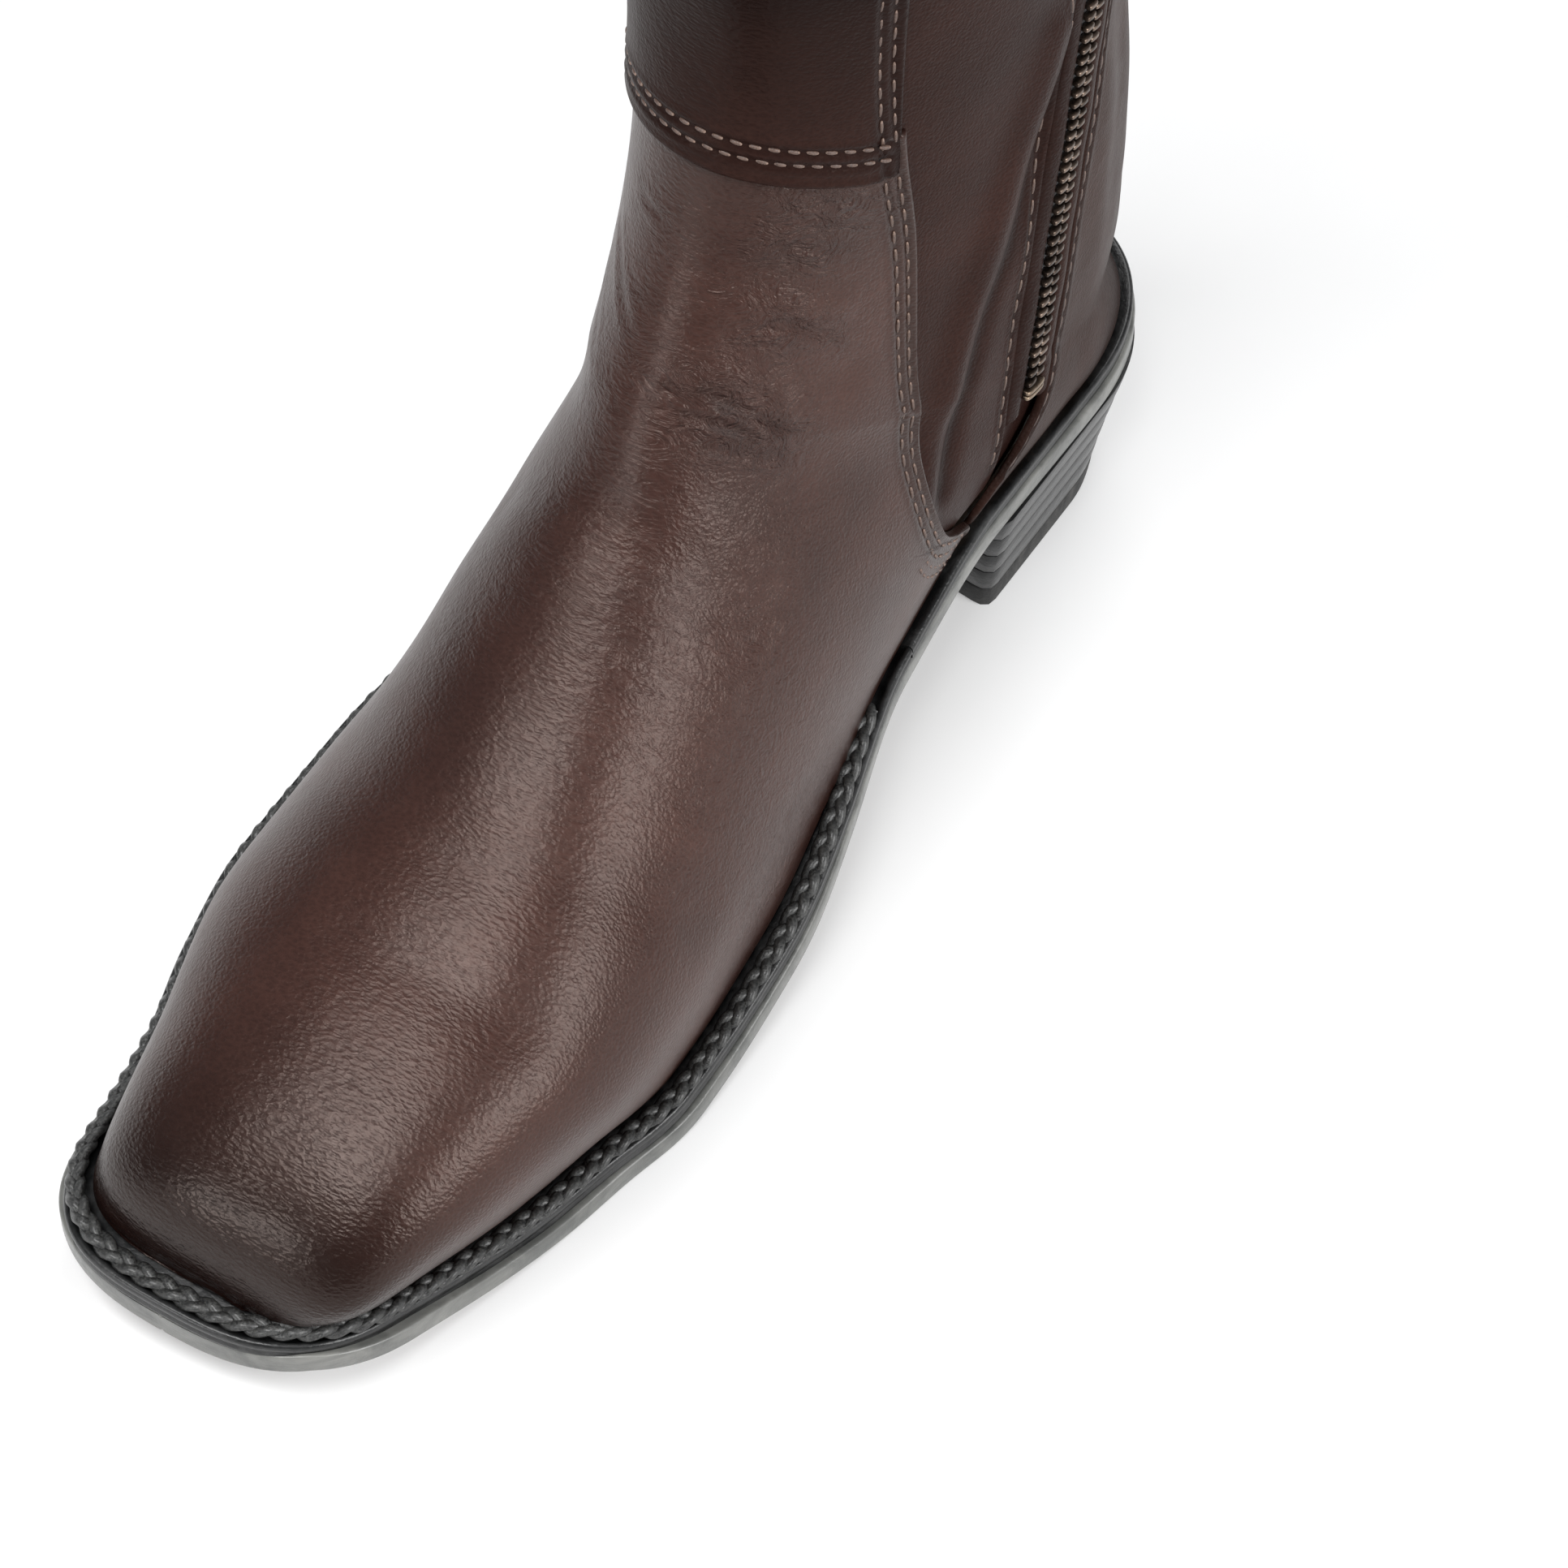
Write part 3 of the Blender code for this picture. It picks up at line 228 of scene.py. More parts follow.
class Last:
    """The last surface as a fine table of points and outward normals."""

    ROWS, TURNS = 721, 401

    def __init__(self):
        shaft_rows = round((self.ROWS - 1) * SHAFT_SHARE)
        y_foot = foot_stations(self.ROWS - shaft_rows)
        shaft = np.linspace(0, angle_of(SEAT_Y, SEAT_Z), shaft_rows, endpoint=False)
        self.angles = np.concatenate([shaft, angle_of(y_foot, feather_z(y_foot))])
        self.rows = np.linspace(0, 1, self.ROWS)
        self.front = self.cut(smoothed(curve_through(FRONT_LINE, 1500), 24), self.angles)
        back = self.cut(smoothed(curve_through(BACK_LINE, 800), 16), shaft)
        self.back = np.vstack([back, np.stack([y_foot, feather_z(y_foot)], axis=1)])
        y_all = np.concatenate([np.full(shaft_rows, SEAT_Y), y_foot])
        toe = toe_share(y_all)
        edge = edge_half(y_all)
        half = np.maximum(monotone(SECTION_HALF)(self.angles) * toe, edge * 1.02 + 0.01)
        power = monotone(SECTION_POWER)(self.angles)
        shift = monotone(RIDGE_SHIFT)(self.angles) * toe
        centre = foot_centre(y_all)
        steps = (self.TURNS + 1) // 2
        self.depth = np.zeros((self.ROWS, steps))
        points = np.zeros((self.ROWS, self.TURNS, 3))
        for i in range(self.ROWS):
            length = np.linalg.norm(self.back[i] - self.front[i])
            depth, side = self.half_section(half[i], edge[i], power[i], length, steps)
            self.depth[i] = depth
            middle = depth * centre[i] + (1 - depth) * shift[i]
            line = self.front[i] + depth[:, None] * (self.back[i] - self.front[i])
            for sign, columns in ((1, steps - 1 - np.arange(steps)), (-1, steps - 1 + np.arange(steps))):
                points[i, columns, 0] = middle + sign * side
                points[i, columns, 1:] = line
        self.points = self.softened(points)
        along = np.gradient(self.points, axis=0)
        across = np.gradient(self.points, axis=1)
        across[:shaft_rows, 0] = across[:shaft_rows, -1] = self.points[:shaft_rows,
                                                                       1] - self.points[:shaft_rows, -2]
        normals = np.cross(along, across)
        self.normals = normals / (np.linalg.norm(normals, axis=2, keepdims=True) + 1e-9)
        if self.normals[0, (self.TURNS - 1) // 2, 1] > 0:
            self.normals = -self.normals

    def softened(self, points):
        """The points with their small changes of bend along the boot evened out, but not near the sole."""
        turn = np.abs(np.linspace(-1, 1, self.TURNS))
        from_edge, from_toe = ramp(0.93, turn, 0.2), ramp(0.985, self.rows, 0.03)
        away = from_edge[None, :] * from_toe[:, None]
        share = eased(away)[..., None]
        return points + share * (smoothed(points, 7) - points)

    @staticmethod
    def cut(line, angles):
        """Where planes at these angles cut a line seen from the side."""
        found = angle_of(line[:, 0], line[:, 1])
        return np.stack([np.interp(angles, found, line[:, k]) for k in (0, 1)], axis=1)

    @staticmethod
    def half_section(half, edge, power, length, steps):
        """(depth from the ridge, half width) along one side of a section, evenly spaced, and edge
        wide at its end."""
        end = math.pi - math.asin(min(1, edge / half) ** (power / 2))
        turn = np.linspace(0, end, 700)
        depth = 0.5 * (1 - np.sign(np.cos(turn)) * np.abs(np.cos(turn)) ** (2 / power))
        side = half * np.abs(np.sin(turn)) ** (2 / power)
        depth /= depth[-1]
        side[-1] = edge
        run = np.concatenate([[0], np.cumsum(np.hypot(np.diff(depth) * length, np.diff(side)))])
        wanted = np.linspace(0, run[-1] if run[-1] > 0 else 1, steps)
        if run[-1] <= 0:
            run = np.linspace(0, 1, 700)
        return np.interp(wanted, run, depth), np.interp(wanted, run, side)

    def look_up(self, table, row, turn):
        i = np.clip(row, 0, 1) * (self.ROWS - 1)
        j = np.clip(turn, 0, 1) * (self.TURNS - 1)
        i0 = np.minimum(i.astype(int), self.ROWS - 2)
        j0 = np.minimum(j.astype(int), self.TURNS - 2)
        fi, fj = (i - i0)[..., None], (j - j0)[..., None]
        near = table[i0, j0] * (1 - fj) + table[i0, j0 + 1] * fj
        far = table[i0 + 1, j0] * (1 - fj) + table[i0 + 1, j0 + 1] * fj
        return near * (1 - fi) + far * fi

    @staticmethod
    def matched(row, turn):
        """row and turn in one shape; a turn below 0 or above 1 goes on round the shaft's back."""
        row, turn = np.broadcast_arrays(np.asarray(row, float), np.asarray(turn, float))
        return row, np.where(turn < 0, turn + 1, np.where(turn > 1, turn - 1, turn))

    def normal(self, row, turn):
        row, turn = self.matched(row, turn)
        found = self.look_up(self.normals, row, turn)
        return unit(found)

    def at(self, row, turn, offset=0.0):
        """Points of the surface, moved outwards by offset."""
        row, turn = self.matched(row, turn)
        return self.look_up(self.points, row, turn) + self.normal(row,
                                                                  turn) * np.asarray(offset, float)[..., None]

    def place(self, line, side):
        """(row, turn) of points seen from the side, on the inner (+1) or outer (-1) side."""
        line = np.asarray(line, float)
        angle = angle_of(line[:, 0], line[:, 1])
        row = np.interp(angle, self.angles, self.rows)
        front = np.stack([np.interp(angle, self.angles, self.front[:, k]) for k in (0, 1)], axis=1)
        back = np.stack([np.interp(angle, self.angles, self.back[:, k]) for k in (0, 1)], axis=1)
        depth = ((line - front) * (back - front)).sum(1) / ((back - front) ** 2).sum(1)
        steps = self.depth.shape[1]
        nearest = np.clip(np.rint(row * (self.ROWS - 1)).astype(int), 0, self.ROWS - 1)
        out = [np.interp(d, self.depth[i], np.linspace(0, 0.5, steps)) for d, i in zip(depth, nearest)]
        return row, 0.5 - side * np.array(out)


last = Last()
SEAT_ROW = float(np.interp(angle_of(SEAT_Y, SEAT_Z), last.angles, last.rows))


def top_row(turn):
    """The shaft's top edge: full height at the sides, lower at its front and back."""
    return SCALLOP * np.cos(2 * math.pi * (turn - 0.5)) ** 2


# ------------------------------------------------------------------------------------------------- materials


class Shader:
    """A material with a Principled BSDF, and short ways to add and join nodes."""

    def __init__(self, name, roughness=0.5, metallic=0.0, specular=0.5, coat=0.0, coat_roughness=0.2,
                 sheen=0.0):
        self.material = bpy.data.materials.new(name)
        self.material.use_nodes = True
        self.nodes = self.material.node_tree.nodes
        self.links = self.material.node_tree.links
        self.bsdf = self.nodes["Principled BSDF"]
        self.place = self.nodes.new("ShaderNodeTexCoord").outputs["Object"]
        for key, value in (("Roughness", roughness), ("Metallic", metallic), ("Specular IOR Level", specular),
                           ("Coat Weight", coat), ("Coat Roughness",
                                                   coat_roughness), ("Sheen Weight", sheen)):
            self.bsdf.inputs[key].default_value = value

    def put(self, socket, value):
        """Joins an output to the socket, or gives it a constant; a colour is three numbers."""
        if isinstance(value, bpy.types.NodeSocket):
            self.links.new(value, socket)
        else:
            socket.default_value = (*value, 1.0) if socket.type == "RGBA" else value

    def scaled(self, factors):
        node = self.nodes.new("ShaderNodeMapping")
        self.links.new(self.place, node.inputs["Vector"])
        node.inputs["Scale"].default_value = factors
        return node.outputs["Vector"]

    def noise(self, scale, detail=3.0, roughness=0.5, stretch=(1, 1, 1), distortion=0.0, output="Fac"):
        node = self.nodes.new("ShaderNodeTexNoise")
        self.links.new(self.scaled(stretch), node.inputs["Vector"])
        for key, value in (("Scale", scale), ("Detail", detail), ("Roughness", roughness),
                           ("Distortion", distortion)):
            node.inputs[key].default_value = value
        return node.outputs[output]

    def cells(self, scale, vector=None):
        node = self.nodes.new("ShaderNodeTexVoronoi")
        self.links.new(vector or self.scaled((1, 1, 1)), node.inputs["Vector"])
        node.inputs["Scale"].default_value = scale
        return node.outputs["Distance"]

    def bands(self, direction, stretch):
        node = self.nodes.new("ShaderNodeTexWave")
        node.wave_type, node.bands_direction = "BANDS", direction
        self.links.new(self.scaled(stretch), node.inputs["Vector"])
        node.inputs["Scale"].default_value = 620
        return node

    def warped(self, stretch, amount, scale):
        """The stretched coordinates, pushed about by a noise."""
        base = self.scaled(stretch)
        push = self.nodes.new("ShaderNodeVectorMath")
        push.operation = "MULTIPLY_ADD"
        self.links.new(self.noise(scale, 2.0, output="Color"), push.inputs[0])
        push.inputs[1].default_value = (amount, amount, amount)
        self.links.new(base, push.inputs[2])
        return push.outputs[0]

    def math(self, operation, a, b=0.0, c=0.0):
        node = self.nodes.new("ShaderNodeMath")
        node.operation = operation
        for socket, value in zip(node.inputs, (a, b, c)):
            self.put(socket, value)
        return node.outputs[0]

    def line(self, value, factor, plus):
        """value x factor + plus."""
        return self.math("MULTIPLY_ADD", value, factor, plus)

    def curve(self, value, stops):
        """value run through a ramp of (place, level) stops."""
        node = self.nodes.new("ShaderNodeValToRGB")
        self.put(node.inputs["Fac"], value)
        while len(node.color_ramp.elements) < len(stops):
            node.color_ramp.elements.new(0.5)
        for element, (spot, level) in zip(node.color_ramp.elements, stops):
            element.position = spot
            element.color = (level, level, level, 1.0)
        return node.outputs["Color"]

    def mixed(self, share, a, b):
        node = self.nodes.new("ShaderNodeMix")
        node.data_type = "RGBA"
        self.put(node.inputs["Factor"], share)
        for key, value in (("A", a), ("B", b)):
            self.put([s for s in node.inputs if s.name == key and s.type == "RGBA"][0], value)
        return [s for s in node.outputs if s.type == "RGBA"][0]

    def attribute(self, name):
        node = self.nodes.new("ShaderNodeAttribute")
        node.attribute_name = name
        return node.outputs["Fac"]

    def bump(self, height, strength, distance, normal=None):
        node = self.nodes.new("ShaderNodeBump")
        node.inputs["Strength"].default_value = strength
        node.inputs["Distance"].default_value = distance
        self.links.new(height, node.inputs["Height"])
        if normal is not None:
            self.links.new(normal, node.inputs["Normal"])
        return node.outputs["Normal"]

    def finish(self, colour, roughness, normal):
        for key, value in (("Base Color", colour), ("Roughness", roughness), ("Normal", normal)):
            self.links.new(value, self.bsdf.inputs[key])
        return self.material


made_materials = {}


def once(maker):
    """The maker's material, made the first time that it is asked for."""
    def give(*named):
        key = (maker.__name__, *named)
        if key not in made_materials:
            made_materials[key] = maker(*named)
        return made_materials[key]
    return give


# Light, dark and burnt colour (the burnt colour is also used for painted shade), and strength of grain,
# roughness, coat and specular level
LEATHERS = {
    "vamp_leather": ((0.05, 0.0215, 0.0165), (0.027, 0.012, 0.0098), (0.007, 0.0032, 0.0026), 0.8, 0.33, 0.06,
                     0.26),
    "shaft_leather": ((0.03, 0.0135, 0.0105), (0.016, 0.0075, 0.0062), (0.006, 0.0028, 0.0024), 0.7, 0.36, 0,
                      0.05),
    "side_leather": ((0.036, 0.0155, 0.012), (0.02, 0.009, 0.0072), (0.006, 0.0028, 0.0024), 0.7, 0.36, 0,
                     0.05),
    "quarter_leather": ((0.04, 0.0185, 0.014), (0.023, 0.011, 0.0085), (0.007, 0.0035, 0.003), 0.65, 0.38, 0,
                        0.04),
    "trim_leather": ((0.034, 0.016, 0.012), (0.02, 0.01, 0.008), (0.006, 0.0035, 0.003), 0.6, 0.4, 0.1, 0.26),
}


@once
def leather(name):
    """Aniline leather: wavy drawn-out grain with painted shade in its hollows, cloudy colour, and darker,
    glossier leather where the point value for burnished leather and painted shade is high."""
    light, dark, burnt_and_shade, grain, roughness, coat, specular = LEATHERS[name]
    s = Shader(name, coat=coat, coat_roughness=0.3, specular=specular)
    s.bsdf.inputs["Specular Tint"].default_value = (1.0, 0.82, 0.74, 1.0)
    waves = s.warped((0.42, 1, 1), 0.0011, 420)
    pebble = s.cells(1450, vector=waves)
    fine = s.noise(2600, 3.0, 0.6)
    soft = s.noise(1200, 2.0, 0.5, (0.35, 1, 1), 0.8)
    height = s.line(pebble, 0.6, s.line(soft, 0.4, s.math("MULTIPLY", fine, 0.2)))
    clouds = s.noise(16, 4.0, 0.55, (1, 1, 1.6), 0.4)
    mottle = s.noise(120, 4.0, 0.6)
    base = s.mixed(s.curve(clouds, [(0.34, 0.0), (0.66, 1.0)]), dark, light)
    base = s.mixed(s.curve(mottle, [(0.3, 0.35), (0.72, 0.0)]), base, dark)
    # darker where that value is high: burnished leather, and painted shade along seams, panel edges, wrinkles
    # and folds
    base = s.mixed(s.curve(s.attribute("burnish"), [(0.0, 0.0), (1.0, 0.96)]), base, burnt_and_shade)
    # painted shade: darker in the grain's hollows
    base = s.mixed(s.curve(height, [(0.42, 0.3), (0.75, 0.0)]), base, burnt_and_shade)
    rough = s.line(mottle, 0.16, roughness - 0.08)
    rough = s.math("SUBTRACT", rough, s.math("MULTIPLY", s.attribute("burnish"), 0.07))
    broad = s.noise(70, 3.0, 0.5, (0.7, 1, 1))
    lines = s.noise(230, 4.0, 0.55, (0.3, 1, 1), 1.5)
    wrinkles = s.math("MULTIPLY", s.math("ABSOLUTE", s.math("SUBTRACT", lines, 0.5)), s.attribute("crinkle"))
    normal = s.bump(wrinkles, 1.0, 0.004, s.bump(broad, 0.3, 0.0008))
    normal = s.bump(height, grain, 0.00022, normal)
    return s.finish(base, rough, normal)


@once
def lining_hide():
    s = Shader("lining_hide", specular=0.3, sheen=0.15)
    pores = s.cells(1500)
    clouds = s.noise(22, 4.0, 0.6)
    fine = s.noise(700, 4.0, 0.6)
    colour = s.mixed(s.curve(clouds, [(0.3, 0.0), (0.7, 1.0)]), (0.25, 0.155, 0.092), (0.36, 0.24, 0.15))
    colour = s.mixed(s.curve(fine, [(0.35, 0.35), (0.6, 0.0)]), colour, (0.16, 0.095, 0.055))
    height = s.line(pores, 0.5, fine)
    return s.finish(colour, s.line(fine, 0.2, 0.6), s.bump(height, 0.35, 0.0002))


@once
def leatherboard():
    s = Shader("leatherboard", specular=0.2)
    fibre = s.noise(500, 5.0, 0.7, (1, 0.3, 1))
    colour = s.mixed(fibre, (0.32, 0.26, 0.19), (0.5, 0.43, 0.34))
    return s.finish(colour, s.line(fibre, 0.15, 0.78), s.bump(fibre, 0.4, 0.0003))


@once
def polished_black():
    """Waxed edge leather, black with grey rubs and a drawn, slightly lumpy gloss."""
    s = Shader("polished_black", specular=0.36, coat=0.15, coat_roughness=0.22)
    lumps = s.noise(260, 4.0, 0.6, (1, 1, 1.4))
    rubs = s.noise(90, 5.0, 0.7, (1, 1, 2.2), 1.2)
    fine = s.noise(1500, 3.0, 0.6)
    colour = s.mixed(s.curve(rubs, [(0.45, 0.0), (0.72, 1.0)]), (0.006, 0.0062, 0.0064), (0.03, 0.03, 0.03))
    rough = s.line(rubs, 0.3, 0.2)
    height = s.line(fine, 0.25, lumps)
    return s.finish(colour, rough, s.bump(height, 0.55, 0.0005))


@once
def sole_edge():
    """The sole's grey-black waxed edge and its dark stained tread, with fine marks along the edge."""
    s = Shader("sole_edge", specular=0.5, coat=0.3, coat_roughness=0.25)
    layers = s.noise(1400, 3.0, 0.6, (0.06, 0.06, 1))
    rubs = s.noise(60, 5.0, 0.65, (1, 1, 2.5), 0.9)
    scuffs = s.noise(700, 4.0, 0.7, (1, 1, 0.4))
    grey = s.mixed(s.curve(rubs, [(0.35, 0.0), (0.7, 1.0)]), (0.06, 0.062, 0.058), (0.17, 0.17, 0.158))
    colour = s.mixed(s.attribute("under"), grey, s.mixed(rubs, (0.045, 0.033, 0.026), (0.12, 0.085, 0.06)))
    rough = s.line(scuffs, 0.25, 0.26)
    height = s.line(layers, 0.6, scuffs)
    return s.finish(colour, rough, s.bump(height, 0.35, 0.0003))


@once
def cord_black():
    """Waxed black lockstitch cord, its fibres catching grey light."""
    s = Shader("cord_black", specular=0.45, coat=0.3, coat_roughness=0.2)
    fibre = s.noise(1900, 4.0, 0.7)
    colour = s.mixed(s.curve(fibre, [(0.4, 0.0), (0.68, 1.0)]), (0.005, 0.0052, 0.0054),
                     (0.055, 0.055, 0.052))
    return s.finish(colour, s.line(fibre, 0.3, 0.25), s.bump(fibre, 0.6, 0.0004))


@once
def seam_thread():
    """Brown waxed thread with a paler glint at one end of each stitch."""
    s = Shader("seam_thread", specular=0.5)
    twist = s.noise(3200, 2.0, 0.6)
    tip = s.curve(s.attribute("along"), [(0.0, 1.0), (0.22, 0.25), (0.8, 0.1), (1.0, 0.5)])
    colour = s.mixed(tip, (0.05, 0.026, 0.019), (0.3, 0.2, 0.155))
    colour = s.mixed(s.curve(twist, [(0.4, 0.5), (0.6, 0.0)]), colour, (0.02, 0.011, 0.009))
    return s.finish(colour, s.line(twist, 0.2, 0.38), s.bump(twist, 0.5, 0.0002))


@once
def gore_elastic():
    s = Shader("gore_elastic", specular=0.2, sheen=0.05)
    weave = s.noise(3000, 3.0, 0.6, (1, 1, 0.35))
    picks = s.math("SINE", s.math("MULTIPLY", s.attribute("along"), 2200.0))
    rib = s.attribute("rib")
    # painted shade and highlight: the rib crests lighter, the hollows between them darker
    colour = s.mixed(rib, (0.006, 0.0038, 0.0032), (0.03, 0.016, 0.012))
    colour = s.mixed(s.curve(weave, [(0.4, 0.5), (0.65, 0.0)]), colour, (0.012, 0.009, 0.008))
    height = s.line(picks, 0.25, weave)
    return s.finish(colour, s.line(weave, 0.2, 0.62), s.bump(height, 0.5, 0.0003))


@once
def tape_cloth():
    s = Shader("tape_cloth", specular=0.2, sheen=0.3)
    warp = s.bands("Y", (1, 1, 0.18))
    warp.inputs["Distortion"].default_value = 0.6
    weft = s.bands("Z", (1, 0.18, 1))
    weave = s.math("MULTIPLY", warp.outputs["Fac"], weft.outputs["Fac"])
    fuzz = s.noise(1500, 3.0, 0.6)
    colour = s.mixed(weave, (0.008, 0.007, 0.008), (0.036, 0.031, 0.031))
    colour = s.mixed(s.curve(fuzz, [(0.5, 0.0), (0.8, 0.5)]), colour, (0.05, 0.045, 0.045))
    return s.finish(colour, s.line(fuzz, 0.2, 0.65), s.bump(weave, 0.6, 0.0003))


# Bright and tarnished colour, roughness and the stretch of its scratches
METALS = {
    "zip_teeth_metal": ((0.2, 0.15, 0.12), (0.06, 0.045, 0.036), 0.24, (1, 1, 1)),
    "zip_slider_metal": ((0.34, 0.26, 0.19), (0.13, 0.095, 0.07), 0.26, (1, 1, 0.2)),
    "plain_steel": ((0.6, 0.6, 0.61), (0.4, 0.39, 0.38), 0.28, (1, 0.15, 1)),
}


@once
def metal(name):
    bright, dull, roughness, scratch = METALS[name]
    s = Shader(name, metallic=1.0)
    tarnish = s.noise(180, 5.0, 0.65)
    marks = s.noise(2200, 4.0, 0.7, scratch)
    colour = s.mixed(s.curve(tarnish, [(0.38, 0.0), (0.62, 1.0)]), dull, bright)
    return s.finish(colour, s.line(marks, 0.25, roughness), s.bump(marks, 0.25, 0.0001))


@once
def cork_grain():
    s = Shader("cork_grain", specular=0.15)
    grains = s.cells(420)
    fine = s.noise(900, 4.0, 0.7)
    colour = s.mixed(s.curve(grains, [(0.1, 1.0), (0.6, 0.0)]), (0.2, 0.115, 0.06), (0.42, 0.27, 0.15))
    height = s.line(grains, 0.7, fine)
    return s.finish(colour, s.line(fine, 0.15, 0.8), s.bump(height, 0.6, 0.0006))


@once
def tread_rubber():
    s = Shader("tread_rubber", specular=0.35)
    grit = s.noise(1400, 4.0, 0.7)
    dust = s.noise(70, 5.0, 0.65, (1, 2, 1), 0.6)
    colour = s.mixed(s.curve(dust, [(0.45, 0.0), (0.75, 1.0)]), (0.014, 0.014, 0.014), (0.06, 0.058, 0.055))
    return s.finish(colour, s.line(grit, 0.25, 0.5), s.bump(grit, 0.45, 0.0004))


# ---------------------------------------------------------------------------------------------------- meshes


def add_piece(name, points, faces, finish, slot, replaces=(), **attributes):
    """One smooth-shaded mesh piece from points in millimetres, riding on the boot, with its named values
    per point."""
    mesh = bpy.data.meshes.new(name)
    faces = [np.asarray(block, np.int32) for block in (faces if isinstance(faces, list) else [faces])]
    sizes = np.concatenate([np.full(len(block), block.shape[1]) for block in faces])
    corners = np.concatenate([block.reshape(-1) for block in faces])
    mesh.vertices.add(len(points))
    mesh.vertices.foreach_set("co", (np.asarray(points, np.float32) * MM).reshape(-1))
    mesh.loops.add(len(corners))
    mesh.loops.foreach_set("vertex_index", corners)
    mesh.polygons.add(len(sizes))
    mesh.polygons.foreach_set("loop_start", np.concatenate([[0], np.cumsum(sizes)[:-1]]).astype(np.int32))
    for key, values in attributes.items():
        layer = mesh.attributes.new(key, "FLOAT", "POINT")
        layer.data.foreach_set("value", np.asarray(values, np.float32).reshape(-1))
    mesh.update(calc_edges=True)
    mesh.validate()
    mesh.shade_smooth()
    mesh.set_sharp_from_angle(angle=math.radians(50))
    mesh.materials.append(finish)
    piece = bpy.data.objects.new(name, mesh)
    bpy.context.scene.collection.objects.link(piece)
    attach(piece, "boot")
    if replaces:
        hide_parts(*replaces)
    return piece


def grid_faces(rows, columns):
    """Quads of a grid of points, and the rim of the grid in order."""
    index = np.arange(rows * columns).reshape(rows, columns)
    quads = np.stack([index[:-1, :-1], index[:-1, 1:], index[1:, 1:], index[1:, :-1]], axis=-1).reshape(-1, 4)
    rim = np.concatenate([index[0, :-1], index[:-1, -1], index[-1, :0:-1], index[:0:-1, 0]])
    return quads, rim


def outwards(points, quads):
    """1 if quads already turn away from what lies between them, or -1, from the sign of their volume."""
    a, b, c, d = (points[quads[:, k]] for k in range(4))
    return 1 if (np.cross(b - a, c - a) * a).sum() + (np.cross(c - a, d - a) * a).sum() > 0 else -1


def solid_between(name, low, high, finish, slot, replaces=(), **attributes):
    """The closed solid between two grids of points of the same size, with values given for the high grid."""
    rows, columns = low.shape[:2]
    count = rows * columns
    quads, rim = grid_faces(rows, columns)
    after = np.roll(rim, -1)
    walls = np.stack([rim, after, after + count, rim + count], axis=-1)
    faces = np.vstack([quads[:, ::-1], quads + count, walls])
    points = np.vstack([low.reshape(-1, 3), high.reshape(-1, 3)])
    if outwards(points, faces) < 0:
        faces = faces[:, ::-1]
    both = {key: np.concatenate([np.asarray(v, float).reshape(-1)] * 2) for key, v in attributes.items()}
    return add_piece(name, points, faces, finish, slot, replaces, **both)


def border_distance(points, sides_only=False):
    """How far each point of a grid of points lies from the grid's edge, or from its sides only, along its
    lines."""
    along = np.linalg.norm(np.diff(points, axis=0), axis=2)
    across = np.linalg.norm(np.diff(points, axis=1), axis=2)
    down = np.concatenate([np.zeros((1, points.shape[1])), np.cumsum(along, axis=0)])
    right = np.concatenate([np.zeros((points.shape[0], 1)), np.cumsum(across, axis=1)], axis=1)
    sides = np.minimum(right, right[:, -1:] - right)
    return sides if sides_only else np.minimum(np.minimum(down, down[-1:] - down), sides)


def edged(count, length):
    """Shares from 0 to 1, with close lines near the ends of a strip that is length millimetres long."""
    near = np.array([0.12, 0.3, 0.6, 1.0, 1.6]) / length
    inside = np.linspace(2.4 / length, 1 - 2.4 / length, count)
    return np.concatenate([[0], near, inside, 1 - near[::-1], [1]])


def rounding(distance, radius):
    """How far a rounded edge of that radius has dropped, at a distance from the edge."""
    return radius * (1 - np.sqrt(1 - (1 - ramp(distance, 0, radius)) ** 2))


def stroke(points, line, width):
    """(squared distance over width squared, share along) of points from a line of a few 3-D points."""
    line = np.asarray(line, float)
    best = np.full(points.shape[:-1], 1e9)
    share = np.zeros(points.shape[:-1])
    total = len(line) - 1
    for k, (a, b) in enumerate(zip(line, line[1:])):
        t = np.clip(((points - a) @ (b - a)) / ((b - a) @ (b - a)), 0, 1)
        gap = ((points - a - t[..., None] * (b - a)) ** 2).sum(-1)
        near = gap < best
        best = np.where(near, gap, best)
        share = np.where(near, (k + t) / total, share)
    return best / width**2, share


def crease(points, line, depth, width):
    """A wrinkle: a valley along a line with a low ridge on each side, fading out at both ends."""
    far, share = stroke(points, line, width)
    fade = np.clip(share * (1 - share) * 6, 0, 1)
    near = np.sqrt(far)
    return depth * fade * (0.55 * bell(near, 1.9, 0.9) - np.exp(-far))


def hollow(points, line, depth, width):
    """A broad soft hollow along a line (a swelling where depth is negative)."""
    return -depth * np.exp(-stroke(points, line, width)[0])


def line_distance(points, line):
    """Distance in millimetres of points from a polyline, for lines of many points."""
    flat = points.reshape(-1, 3)
    best = np.full(len(flat), 1e9)
    for start in range(0, len(line), 24):
        chunk = line[start:start + 24]
        best = np.minimum(best, ((flat[:, None] - chunk[None]) ** 2).sum(-1).min(1))
    return np.sqrt(best).reshape(points.shape[:-1])


